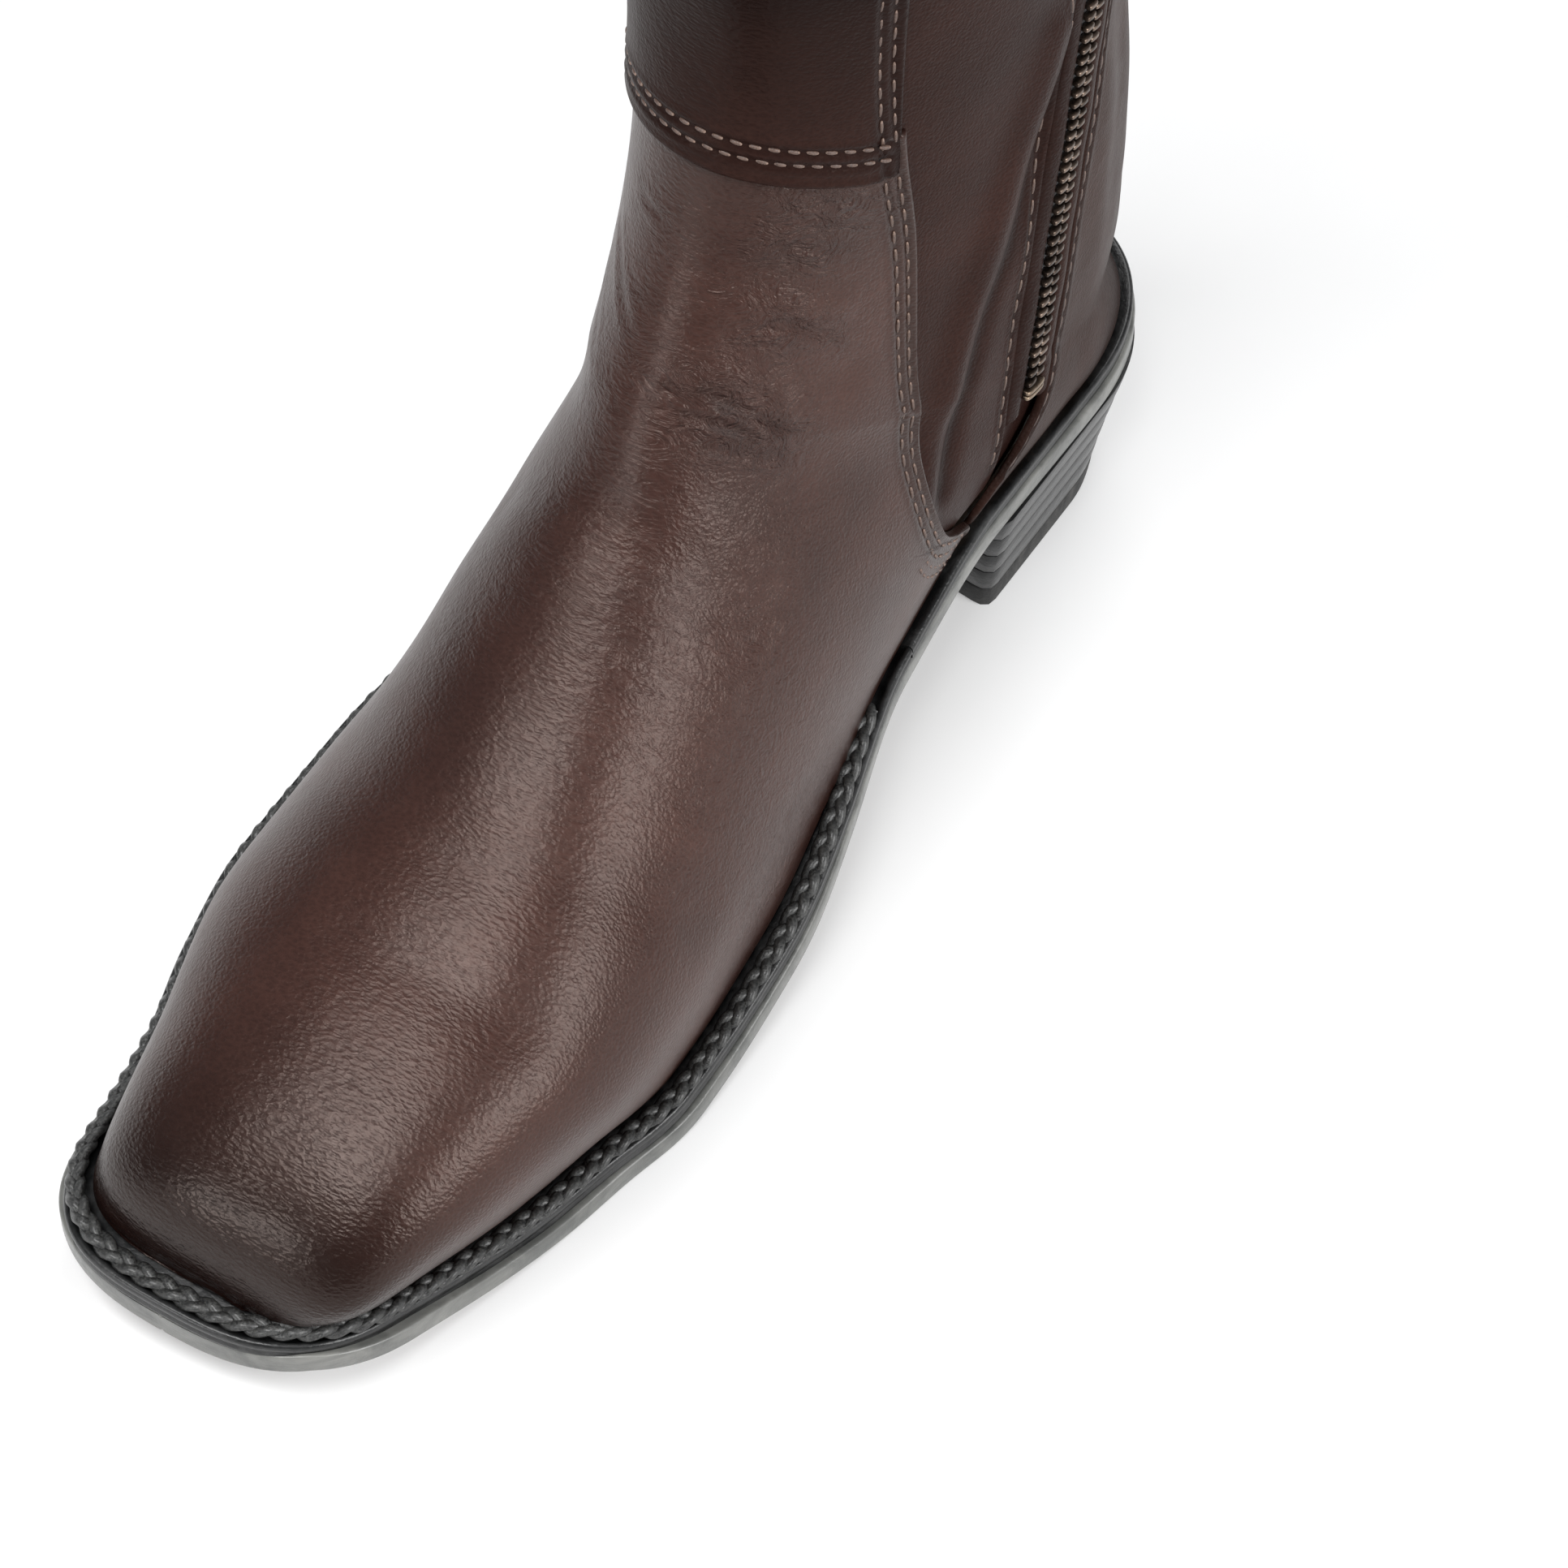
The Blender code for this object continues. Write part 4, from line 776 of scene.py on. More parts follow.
def superellipsoids(centres, along, up, side, half, power=2.0, rings=7, spokes=10):
    """Points, quads and the share along of many rounded bodies; half holds their half sizes (along, up,
    side)."""
    v = np.linspace(-math.pi / 2, math.pi / 2, rings)[:, None]
    u = np.linspace(0, 2 * math.pi, spokes, endpoint=False)[None, :]

    def rounded(value):
        return np.sign(value) * np.abs(value) ** (2 / power)

    shape = [rounded(np.sin(v)) * np.ones_like(u), rounded(np.cos(v)) * rounded(np.sin(u)),
             rounded(np.cos(v)) * rounded(np.cos(u))]
    half = np.broadcast_to(np.asarray(half, float), (len(centres), 3))
    points = np.asarray(centres, float)[:, None, None, :]
    for axis, form, k in zip((along, up, side), shape, range(3)):
        points = points + np.asarray(axis, float)[:, None, None,
                                                  :] * (form[None] * half[:, k, None, None])[..., None]
    index = np.arange(rings * spokes).reshape(rings, spokes)
    after = np.roll(index, -1, axis=1)
    quads = np.stack([index[:-1], after[:-1], after[1:], index[1:]], axis=-1).reshape(-1, 4)
    count = rings * spokes
    quads = (quads[None] + np.arange(len(centres))[:, None, None] * count).reshape(-1, 4)
    share = np.broadcast_to((shape[0] * 0.5 + 0.5)[None], points.shape[:-1])
    points, share = points.reshape(-1, 3), share.reshape(-1)
    if outwards(points, quads) < 0:
        quads = quads[:, ::-1]
    return points, quads, share


def welded(points, quads, *values):
    """The same mesh with doubled points made one and flat faces left out as triangles."""
    _, first, index = np.unique(np.round(points, 5), axis=0, return_index=True, return_inverse=True)
    quads = index.reshape(-1)[quads]
    same = quads == np.roll(quads, -1, axis=1)
    whole = quads[~same.any(axis=1)]
    broken = quads[same.sum(axis=1) == 1]
    triangles = np.array([[q[k] for k in range(4) if q[k] != q[(k + 1) % 4]] for q in broken],
                         int).reshape(-1, 3)
    return (points[first], [block for block in (whole, triangles) if len(block)], *(v[first] for v in values))


def bodies(name, centres, along, up, side, half, finish, slot, replaces=(), power=2.0, rings=7, spokes=10):
    """Many rounded bodies as one piece, with "along" running from 0 to 1 over each."""
    points, quads, share = superellipsoids(centres, along, up, side, half, power, rings, spokes)
    points, faces, share = welded(points, quads, share)
    return add_piece(name, points, faces, finish, slot, replaces, along=share)


STITCH_RISE = 0.06


def stitches(name, points, normals, pitch, replaces=(), radius=0.36, length=0.72):
    """A row of lockstitches along points lying on a surface, each an arched strand that dives at both
    ends."""
    run = run_along(points)
    count = max(2, int(run[-1] / pitch))
    spots = (np.arange(count) + 0.5) * run[-1] / count + RNG.uniform(-0.12, 0.12, count)

    def at(where, table):
        return np.stack([np.interp(where, run, table[:, k]) for k in range(3)], axis=1)

    centre, up = at(spots, points), at(spots, normals)
    along = unit(at(spots + 0.8, points) - at(spots - 0.8, points))
    up -= along * (up * along).sum(1, keepdims=True)
    up /= np.linalg.norm(up, axis=1, keepdims=True)
    side = np.cross(along, up)
    along = along + side * RNG.uniform(0.02, 0.12, (count, 1))
    long = pitch * length / 2 * RNG.uniform(0.94, 1.05, count)
    half = np.column_stack([long, np.full(count, radius), np.full(count, radius * 1.1)])
    return bodies(name, centre + up * STITCH_RISE, along, up, side, half, seam_thread(), "thread", replaces,
                  2.2)


# ------------------------------------------------------------------------------------------------- the upper


def offset_line(line, inset, count=300):
    """A line seen from the side, moved by inset towards the toe side of its direction down the boot."""
    dense = curve_through(line, count)
    ahead = unit(np.gradient(dense, axis=0))
    return dense + inset * np.stack([ahead[:, 1], -ahead[:, 0]], axis=1)


def seam_rows(line, side, count):
    """count (row, turn) places along a line seen from the side, without what lies above the shaft's top."""
    row, turn = last.place(curve_through(line, 600), side)
    below = row > top_row(turn) + 1e-4
    row, turn = row[below], turn[below]
    spaced = np.linspace(0, 1, count)
    source = np.linspace(0, 1, len(row))
    return np.interp(spaced, source, row), np.interp(spaced, source, turn)


def front_edge(side):
    """The front seam as a function from row to turn, with its end on the feather line."""
    row, turn = last.place(curve_through(FRONT_SEAM, 600), side)
    row = np.maximum.accumulate(row + np.arange(len(row)) * 1e-7)
    return lambda r: np.clip(np.where(r > row[-1], 0.5 - side * 0.5, np.interp(r, row, turn)), 0.004, 0.996)


inner_front, outer_front = front_edge(1), front_edge(-1)


VAMP_END_ROW = 0.988
CROSS_LAP, CROSS_ROWS, CROSS_REACH = 0.012, (0.0, -0.0075), 0.24
SEAM_INSETS = (2.2, 4.7)
PANEL_CROWN, CROWN_REACH = 1.5, 9.0
SIDES = ((1, "medial"), (-1, "lateral"))


def cross_row(turn):
    """The seam across the instep, which hangs a little lower at the ridge."""
    side_row = last.place([(FRONT_SEAM[2][0], CROSS_SEAM_SIDE_Z)], 1)[0][0]
    return side_row + CROSS_SEAM_DROP * np.cos(math.pi * np.clip((turn - 0.5) / CROSS_REACH, -1, 1) / 2)


def front_rows(side, inset, z_high, z_low):
    """(row, turn) along a front seam's row of stitching, between two heights at the start of each."""
    line = offset_line(FRONT_SEAM, inset)
    line = line[(line[:, 1] < z_high) & (line[:, 1] > z_low)]
    return last.place(evenly(line, 260), side)


def cross_line(shift):
    """(row, turn) along the cross seam, shifted by rows, as far as the front seams."""
    turn = np.linspace(0.5 - CROSS_REACH, 0.5 + CROSS_REACH, 400)
    row = cross_row(turn) + shift
    keep = (turn > inner_front(row) + 0.011) & (turn < outer_front(row) - 0.011)
    return row[keep], turn[keep]


def seam_points():
    """Every row of stitching on the front panel and the vamp as one cloud of points."""
    found = [last.at(*cross_line(shift)) for shift in CROSS_ROWS]
    for side, _ in SIDES:
        found += [last.at(*front_rows(side, inset, 268, 44)) for inset in SEAM_INSETS]
    return np.vstack(found)


CREASE_DEPTH = 0.6
# Each crease or hollow: a few points near the surface, a depth and a width
CREASES = [
    ([(2, -108, 128), (8, -105.5, 126), (14, -102, 124)], 0.75, 1.1),
    ([(9, -105, 128), (17, -101, 122), (23, -95, 115)], 0.85, 1.2),
    ([(7, -109, 124), (14, -105, 121), (19, -101, 117)], 0.6, 1.0),
    ([(11, -110, 119), (17, -104, 114), (23, -97, 110)], 0.5, 1.2),
    ([(14, -94, 138), (19, -89, 136), (24, -83, 130)], 0.9, 1.3),
    ([(15, -95, 134), (19, -91, 130)], 0.45, 0.9),
    ([(13, -94, 141), (20, -88, 136)], 0.4, 0.9),
    ([(14, -85, 167), (18, -82, 162.5), (22, -78, 158)], 0.5, 0.9),
    ([(19, -80, 165), (27, -69, 154)], 0.45, 0.9),
    ([(15, -84, 164), (21, -79, 155)], 0.35, 0.8),
    ([(21, -77, 166), (27, -69, 157)], 0.4, 0.8),
    ([(14, -86, 157), (17, -84, 153)], 0.35, 0.8),
    ([(-13, -89, 152), (-6, -93, 153)], 0.5, 1.0),
    ([(1, -96, 148), (6, -95, 147)], 0.35, 0.9),
    ([(11, -89, 154), (17, -85, 152), (22, -79, 148)], 0.6, 1.0),
    ([(14, -88, 152), (19, -85, 147)], 0.4, 0.9),
    ([(-22, -84, 140), (-12, -98, 134), (-4, -103, 130)], 0.45, 1.5),
    ([(-26, -78, 128), (-17, -97, 121), (-9, -108, 117)], 0.4, 1.4),
]
HOLLOWS = [
    ([(-6, -200, 62), (30, -199, 59)], 0.6, 7.0),
    ([(3, -125, 108), (28, -117, 88)], 0.9, 8.0),
    ([(4, -181, 71), (42, -158, 52)], 0.6, 8.0),
    ([(-8, -181, 71), (-46, -158, 50)], 0.5, 8.0),
    ([(-2, -122, 112), (-27, -116, 90)], 0.8, 8.0),
    ([(12, -98, 133), (27, -84, 121)], 0.8, 5.0),
    ([(14, -96, 143), (26, -82, 136)], -0.7, 3.5),
]


def vamp_relief(points):
    """Wrinkles where the foot bends, and the broad hollows between them."""
    made = sum(crease(points, line, depth * CREASE_DEPTH, width) for line, depth, width in CREASES)
    made = made + sum(hollow(points, *given) for given in HOLLOWS)
    wave = 0.16 * np.sin(points[..., 1] / 6.5 + 1.7 * np.sin(points[..., 0] / 11) + points[..., 2] / 9)
    flex = bell(points[..., 1], -130, 34)
    return made + wave * flex


def panel_relief(points):
    """The front panel's slack, as soft upright folds."""
    x, _, z = np.moveaxis(points, -1, 0)
    folds = 0.35 * np.sin(x / 5.2 + z / 40 + 0.6) * ramp(z, 170, 25)
    return folds + 0.25 * np.sin(z / 11 + x / 17)


FAR_FROM_SEAM = 40.0
UNDER_RADIUS = 0.25


def shell(name, row, turn, layer, finish, slot, replaces=(), relief=None, seams=None, radius=0.7, groove=0.35,
          burnish=None, crown=0.0, crown_reach=12.0, crinkle=None, lip=0.15):
    """A closed panel over a grid of (row, turn), rounded at its border, with its relief and sunk seams.

    layer is its (inner, outer) height over the last. crown is how far its side borders fall away.
    """
    low, high = layer
    base = last.at(row, turn)
    edge = border_distance(base)
    seam = np.full(edge.shape, FAR_FROM_SEAM)
    if seams is not None:
        seam = np.minimum(line_distance(base, seams), FAR_FROM_SEAM)
    fall = np.clip(border_distance(base, True) / crown_reach, 0, 1)
    rise = (relief(base) if relief else 0) * ramp(edge, 0, 2.5) - crown * (1 - eased(fall))
    rise = rise + (0.22 * bell(seam, 1.4, 0.8) - groove * bell(seam, 0, 0.7)) * (groove > 0)
    outer = high + rise - rounding(edge, radius) + lip * bell(edge, 1.1, 0.7)
    inner = np.minimum(low + rise * 0.6 + rounding(edge, UNDER_RADIUS), outer - 0.15)
    # painted shade: darker along the sunk seams and round the panel's rounded border, where shade falls; the
    # piece's own darkening is joined to it
    dark = 0.55 * bell(seam, 0, 2.0) + 0.3 * np.exp(-edge / 1.5)
    dark = np.maximum(dark, burnish(base) if burnish else 0)
    return solid_between(name, last.at(row, turn, inner), last.at(row, turn, outer), finish, slot, replaces,
                         burnish=np.clip(dark, 0, 1),
                         crinkle=crinkle(base) if crinkle else np.zeros(edge.shape))


def vamp_burnish(points):
    """Darker towards the toe's end and just above the welt, and painted shade down the hollows of the
    wrinkles.
    """
    _, y, z = np.moveaxis(points, -1, 0)
    toe = np.clip((-y - 214) / 36, 0, 1) ** 1.2 * 0.95
    low = np.clip(1 - (z - feather_z(y)) / 14, 0, 1) * 0.55
    # painted shade along the creases
    lines = sum(np.exp(-stroke(points, line, width * 0.8)[0]) * depth for line, depth, width in CREASES)
    top = ramp(z, 128, 50) * 0.45
    return np.maximum(np.maximum(toe, low), np.maximum(np.minimum(0.35 * lines, 0.3), top))


def vamp_crinkle(points):
    """Where the leather is finely wrinkled: near the drawn creases and over the instep."""
    near = sum(np.exp(-stroke(points, line, 6.0)[0]) * depth for line, depth, _ in CREASES)
    flex = 0.16 * bell(points[..., 1], -128, 30)
    return np.clip(0.38 * near + flex, 0, 0.62)


def between_fronts(row, across):
    """The turn at a share of the way from the inner front seam to the outer one."""
    return inner_front(row) + across * (outer_front(row) - inner_front(row))


def make_vamp():
    """The vamp from under the cross seam to the toe, with the front seams' lower rows and the tack rows
    at their feet."""
    start = float(cross_row(np.array(0.5))) - CROSS_LAP
    rows = start + (VAMP_END_ROW - start) * edged(330, 210.0)
    row, across = np.meshgrid(rows, edged(230, 120.0), indexing="ij")
    turn = between_fronts(row, across)
    shell("vamp_shell", row, turn, OUTER, leather("vamp_leather"), "brown_leather", ["vamp"], vamp_relief,
          seam_points(), 0.85, 0.4, vamp_burnish, crinkle=vamp_crinkle, lip=0.3)
    for side, name in SIDES:
        for number, inset in enumerate(SEAM_INSETS, start=1):
            row, turn = front_rows(side, inset, CROSS_SEAM_SIDE_Z - 6, 43)
            base = last.at(row, turn)
            stitches(f"{name}_vamp_stitches_{number}", last.at(row, turn, vamp_relief(base) - 0.28),
                     last.normal(row, turn), 4.2, [f"{name}_vamp_thread_{number}"])
        for number, inset in enumerate((6.9, 9.1), start=1):
            row, turn = front_rows(side, inset, 62, 42)
            stitches(f"{name}_tack_stitches_{number}", last.at(row, turn, -0.12), last.normal(row, turn), 3.4)


def make_front_panel():
    """The shaft's front, lapped over the vamp, with the cross seam and the front seams' upper rows."""
    share, across = np.meshgrid(edged(170, 115.0), edged(110, 70.0), indexing="ij")
    guess = share * 0.24
    turn = between_fronts(guess, across)
    row = top_row(turn) + share * (cross_row(turn) + CROSS_LAP - top_row(turn))

    def burnish(points):
        return ramp(points[..., 2], 176, 40) * 0.75 + 0.15

    shell("front_panel_shell", row, turn, LAPPED, leather("shaft_leather"), "brown_leather", ["front_panel"],
          panel_relief, seam_points(), 0.75, 0.4, burnish, PANEL_CROWN, CROWN_REACH, lip=0.2)
    for number, shift in enumerate(CROSS_ROWS, start=1):
        row, turn = cross_line(shift)
        height = LAPPED[1] + panel_relief(last.at(row, turn)) - 0.32 - (number == 1) * 0.15
        stitches(f"cross_stitches_{number}", last.at(row, turn, height), last.normal(row, turn), 3.3,
                 [f"cross_seam_thread_{number}"], 0.42, 0.7)
    for side, name in SIDES:
        for number, inset in enumerate(SEAM_INSETS, start=1):
            row, turn = front_rows(side, inset, 268, CROSS_SEAM_SIDE_Z + 1)
            drop = PANEL_CROWN * (1 - eased(inset / CROWN_REACH))
            height = LAPPED[1] - drop - 0.26 + panel_relief(last.at(row, turn)) * min(1, inset / 2.5)
            stitches(f"{name}_front_stitches_{number}", last.at(row, turn, height), last.normal(row, turn),
                     4.2, [f"{name}_front_thread_{number}"])


def beside_zip(reach):
    """Points of a line seen from the side that runs along the zip, reach behind it."""
    lean = (ZIP_TOP[0] - ZIP_FOOT[0]) / (ZIP_TOP[1] - ZIP_FOOT[1])
    return [(ZIP_FOOT[0] + (z - ZIP_FOOT[1]) * lean + reach, z)
            for z in np.linspace(TOP_Z + 8, ZIP_FOOT[1] + 2, 5)]


def wrap_grid(share, across):
    """(row, turn) of a piece that wraps round the back from one rear edge to the other; across runs from
    -1 to 1."""
    rows, turns = np.zeros((len(share), len(across))), np.zeros((len(share), len(across)))
    for side in (-1, 1):
        row, turn = seam_rows([*beside_zip(ZIP_HALF + 0.8), *REAR_SEAM_FOOT], side, 160)
        source = np.linspace(0, 1, len(row))
        row, turn = np.interp(share, source, row)[:, None], np.interp(share, source, turn)[:, None]
        part = across * side >= 0
        reach = np.abs(across[part])[None, :]
        rows[:, part] = share[:, None] * SEAT_ROW * (1 - reach) + row * reach
        turns[:, part] = (0.5 - side * 0.5) * (1 - reach) + turn * reach
    turns[:, across < 0] -= 1.0
    return rows, turns


def quarter_relief(points):
    """Soft upright folds beside the zip and a slack ankle at the back."""
    x, y, z = np.moveaxis(points, -1, 0)
    ankle = bell(z, 140, 46)
    beside = bell(y - (z - 70) * 0.17, -2, 15)
    folds = 0.55 * np.sin(y / 3.9 + z / 45) * beside * (0.35 + 0.65 * ankle)
    rings = 0.5 * np.sin(z / 9.5 + y / 19 + x / 23) * ankle * ramp(y, -25, 30)
    return folds + rings - 0.45 * bell(z, 78, 7) * ramp(y, 0, 30)


def make_quarter():
    """The back of the shaft and the heel in one piece, from beside the zip round to the outer side."""
    row, turn = wrap_grid(0.978 * edged(150, 240.0), 2 * edged(190, 200.0) - 1)
    row = np.maximum(row, top_row(turn % 1.0))
    stitched = [*beside_zip(ZIP_HALF + 3.4), (-30, 58), (-37, 53.5)]
    places = [(name, *seam_rows(stitched, side, 260)) for side, name in SIDES]

    def burnish(points):
        z = points[..., 2]
        return np.maximum(ramp(z, 236, 50) * 0.7, np.clip(1 - (z - SEAT_Z) / 12, 0, 1) * 0.6)

    shell("quarter_shell", row, turn, OUTER, leather("quarter_leather"), "brown_leather", ["quarter"],
          quarter_relief, np.vstack([last.at(*place) for _, *place in places]), 0.8, 0.35, burnish)
    for name, *place in places:
        line, normals = last.at(*place), last.normal(*place)
        stitches(f"{name}_quarter_stitches", line + normals * (quarter_relief(line) - 0.26)[:, None], normals,
                 4.4)


def strip_between(left, right, rows, columns, length, width):
    """A (row, turn) grid between two lines of (row, turn), both running down the boot."""
    down, across = edged(rows, length), edged(columns, width)[None, :]
    source = np.linspace(0, 1, len(left[0]))
    made = []
    for k in range(2):
        start, end = np.interp(down, source, left[k])[:, None], np.interp(down, source, right[k])[:, None]
        made.append(start * (1 - across) + end * across)
    return np.maximum(made[0], top_row(made[1])), made[1]


FOLD = [(36, -17, 165), (36, -27, 142), (35, -38, 116), (35, -53, 88), (36, -60, 70)]


def gusset_relief(points):
    """The loose leather in front of the zip: a long valley, a swollen ridge before it and slack waves."""
    _, y, z = np.moveaxis(points, -1, 0)
    valley = hollow(points, FOLD, 1.3, 3.4)
    ridge = hollow(points, [(36, y_fold - 9, z_fold) for _, y_fold, z_fold in FOLD], -1.9, 5.5)
    waves = 0.35 * np.sin(z / 8.5 + y / 6.0) * bell(z, 120, 50)
    return valley + ridge + waves


def make_medial_gusset():
    """The side panel between the front seam and the zip, and the row of stitching in front of the zip."""
    front = [(y - 4.0, z) for y, z in FRONT_SEAM[:6]] + [(-62, 60), (-56, 52)]
    left = seam_rows(front, 1, 260)
    right = seam_rows([*beside_zip(-ZIP_HALF - 0.8), (-39, 56), (-42, 51)], 1, 260)
    row, turn = strip_between(left, right, 190, 70, 230.0, 55.0)
    line = [*beside_zip(-ZIP_HALF - 3.6), (-41.5, 58)]
    seam_row, seam_turn = seam_rows(line, 1, 260)
    seams = last.at(seam_row, seam_turn)

    def burnish(points):
        high = 0.1 + 0.3 * ramp(points[..., 2], 150, 60)
        # painted shade down the fold's valley, where the panel turns in
        return np.maximum(high, 0.7 * np.exp(-stroke(points, FOLD, 3.0)[0]))

    shell("medial_gusset_shell", row, turn, MIDDLE, leather("side_leather"), "brown_leather",
          ["medial_gusset"], gusset_relief, seams, 0.6, 0.3, burnish)
    height = MIDDLE[1] + gusset_relief(seams) - 0.22
    stitches("zip_front_stitches", last.at(seam_row, seam_turn, height), last.normal(seam_row, seam_turn),
             4.7)


def evenly_burnt(level):
    """A burnish that is the same all over a piece."""
    return lambda points: np.full(points.shape[:-1], level)


def make_zip_foot():
    """The leather under the panels' feet on both sides, which closes the gap between the side panel and
    the quarter."""
    for side, name, layer in ((1, "zip_foot_tab", (-3.6, -2.5)), (-1, "lateral_foot_tab", (-2.6, -1.7))):
        left = seam_rows([(-38, 92), (-44, 74), (-50, 58), (-52, 47)], side, 60)
        right = seam_rows([(-14, 92), (-18, 74), (-26, 58), (-38, 46)], side, 60)
        shell(name, *strip_between(left, right, 40, 30, 45.0, 25.0), layer, leather("side_leather"),
              "dark_leather", radius=0.4, groove=0, burnish=evenly_burnt(0.4))


def make_gore():
    """The ribbed elastic, a little smaller than its opening."""
    ends, foot = 5, range(3, 8)
    shrunk = [(y + np.sign(ends - k), z + (1.0 if k in foot else 0)) for k, (y, z) in enumerate(GORE_OUTLINE)]
    row, turn = seam_rows(shrunk, -1, 401)
    row, turn = strip_between((row[:200], turn[:200]), (row[:200:-1], turn[:200:-1]), 120, 230, 190.0, 50.0)
    row = row + (top_row(turn[:1]) - row[:1]) * np.linspace(1, 0, len(row))[:, None]
    base = last.at(row, turn)
    side_y = base[..., 1] - 0.17 * (base[..., 2] - 150)
    rib = 0.5 + 0.5 * np.cos(2 * math.pi * side_y / RIB_PITCH)
    pucker = 0.1 * np.sin(2 * math.pi * base[..., 2] / 5.5 + 3 * np.sin(side_y / 9))
    outer = MIDDLE[1] - 0.25 + 0.45 * rib + pucker - rounding(border_distance(base), 0.4)
    solid_between("lateral_gore_web", last.at(row, turn, MIDDLE[0]), last.at(row, turn, outer),
                  gore_elastic(), "elastic", ["lateral_gore"], along=base[..., 2] * MM, rib=rib)


def make_lateral_side():
    """The leather surround of the elastic, as a band bent into a U, with its two rows of stitching."""
    rear = [(ZIP_TOP[0] + 14, TOP_Z + 8), (-10, 150), (-18, 100), (-26, 72)]
    outer = [(y - 4.0, z) for y, z in FRONT_SEAM[:6]] + [(-63, 62), (-54, 52), (-42, 51),
                                                         (-32, 59)] + rear[::-1]
    row, turn = strip_between(seam_rows(outer, -1, 400), seam_rows(GORE_OUTLINE, -1, 400), 380, 24, 460.0,
                              16.0)
    lines = [seam_rows(offset_line(GORE_OUTLINE, inset, 500)[::4], -1, 460) for inset in (1.8, 4.2)]
    seams = np.vstack([last.at(*line) for line in lines])
    shell("lateral_gusset_shell", row, turn, (MIDDLE[0], MIDDLE[1] + 0.3), leather("side_leather"),
          "brown_leather", ["lateral_gusset"], None, seams, 0.6, 0.3, evenly_burnt(0.35))
    for number, line in enumerate(lines, start=1):
        stitches(f"gore_stitches_{number}", last.at(*line, MIDDLE[1] + 0.08), last.normal(*line), 3.4,
                 radius=0.3)


def make_inner_layers():
    """The linings and the two stiffeners between lining and upper."""
    share, turn = np.meshgrid(edged(90, 240.0), np.linspace(0.002, 0.998, 220), indexing="ij")
    turn = turn - 0.4 * np.sin(4 * math.pi * turn) / (4 * math.pi)
    row = top_row(turn) + share * (SEAT_ROW - 0.006 - top_row(turn))

    def ankle(points):
        return 0.25 * np.sin(points[..., 2] / 8 + points[..., 0] / 12)

    shell("shaft_lining_shell", row, turn, (LINING[0], LINING[1] - 0.3), lining_hide(), "lining_leather",
          ["shaft_lining"], ankle, radius=0.3, groove=0)
    start = float(np.interp(angle_of(SEAT_Y, SEAT_Z) + LINING_STEP, last.angles, last.rows))
    foot = np.meshgrid(np.linspace(start, 0.98, 110), np.linspace(0.0, 1.0, 90), indexing="ij")
    heel = wrap_grid(np.linspace(0.72, 0.92, 30), np.linspace(-0.87, 0.87, 80))
    toe = np.meshgrid(np.linspace(0.83, 0.98, 50), 0.02 + 0.96 * np.linspace(0, 1, 80), indexing="ij")
    shell("vamp_lining_shell", *foot, LINING, lining_hide(), "lining_leather", ["vamp_lining"], radius=0.3,
          groove=0)
    shell("heel_counter_shell", *heel, COUNTER, leatherboard(), "stiffener", ["heel_counter"], radius=0.2,
          groove=0)
    shell("toe_puff_shell", *toe, (MIDDLE[0], MIDDLE[1] - 0.1), leatherboard(), "stiffener", ["toe_puff"],
          radius=0.3, groove=0)


def swept(name, rings, finish, slot, replaces=(), closed=False, **attributes):
    """A solid swept through rings of points, (stations, points of the section, 3)."""
    stations, sides = rings.shape[:2]
    index = np.arange(stations * sides).reshape(stations, sides)
    after = np.roll(index, -1, axis=1)
    points, faces = rings.reshape(-1, 3), []
    if closed:
        low, high = (index, after), (np.roll(index, -1, axis=0), np.roll(after, -1, axis=0))
    else:
        low, high = (index[:-1], after[:-1]), (index[1:], after[1:])
        points = np.vstack([points, rings[0].mean(0), rings[-1].mean(0)])
        first, final = stations * sides, stations * sides + 1
        caps = [np.stack([np.full(sides, first), after[0], index[0]], axis=1),
                np.stack([np.full(sides, final), index[-1], after[-1]], axis=1)]
        faces.append(np.vstack(caps))
        attributes = {k: np.concatenate([np.asarray(v, float).reshape(-1), [0, 0]]) for k,
                      v in attributes.items()}
    quads = np.stack([low[0], low[1], high[1], high[0]], axis=-1).reshape(-1, 4)
    faces = [quads, *faces]
    if outwards(points, quads) < 0:
        faces = [block[:, ::-1] for block in faces]
    return add_piece(name, points, faces, finish, slot, replaces, **attributes)


def rounded_section(half_wide, half_high, power, count):
    """count points round a rectangle with soft corners, squarer as power grows."""
    turn = np.linspace(0, 2 * math.pi, count, endpoint=False)
    wide = np.sign(np.cos(turn)) * np.abs(np.cos(turn)) ** (2 / power)
    high = np.sign(np.sin(turn)) * np.abs(np.sin(turn)) ** (2 / power)
    return np.stack([half_wide * wide, half_high * high], axis=1)


def make_top_binding():
    """A folded strip round the shaft's mouth, over the edges of the leather and the lining, and its
    stitching."""
    turn = np.linspace(0, 1, 361)[:-1]
    row = top_row(turn)
    ahead = last.at(row, turn) - last.at(row + 0.01, turn)
    up = unit(ahead)
    lumps = 0.1 * np.sin(turn * 97) + 0.08 * np.sin(turn * 211 + 1)
    rings = []
    for wide, high in rounded_section(3.5, 1.9, 3.2, 22):
        rings.append(last.at(row, turn,
                             wide - 1.45 + lumps * np.sign(wide)) + up * (0.75 + high + lumps)[:, None])
    swept("top_binding_roll", np.stack(rings, axis=1), leather("trim_leather"), "dark_leather",
          ["top_binding"], closed=True, burnish=np.full((len(turn), 22), 0.35))
    line = last.at(row, turn, 2.0) - up * 0.2
    stitches("binding_stitches", line, last.normal(row, turn), 3.0, radius=0.3)


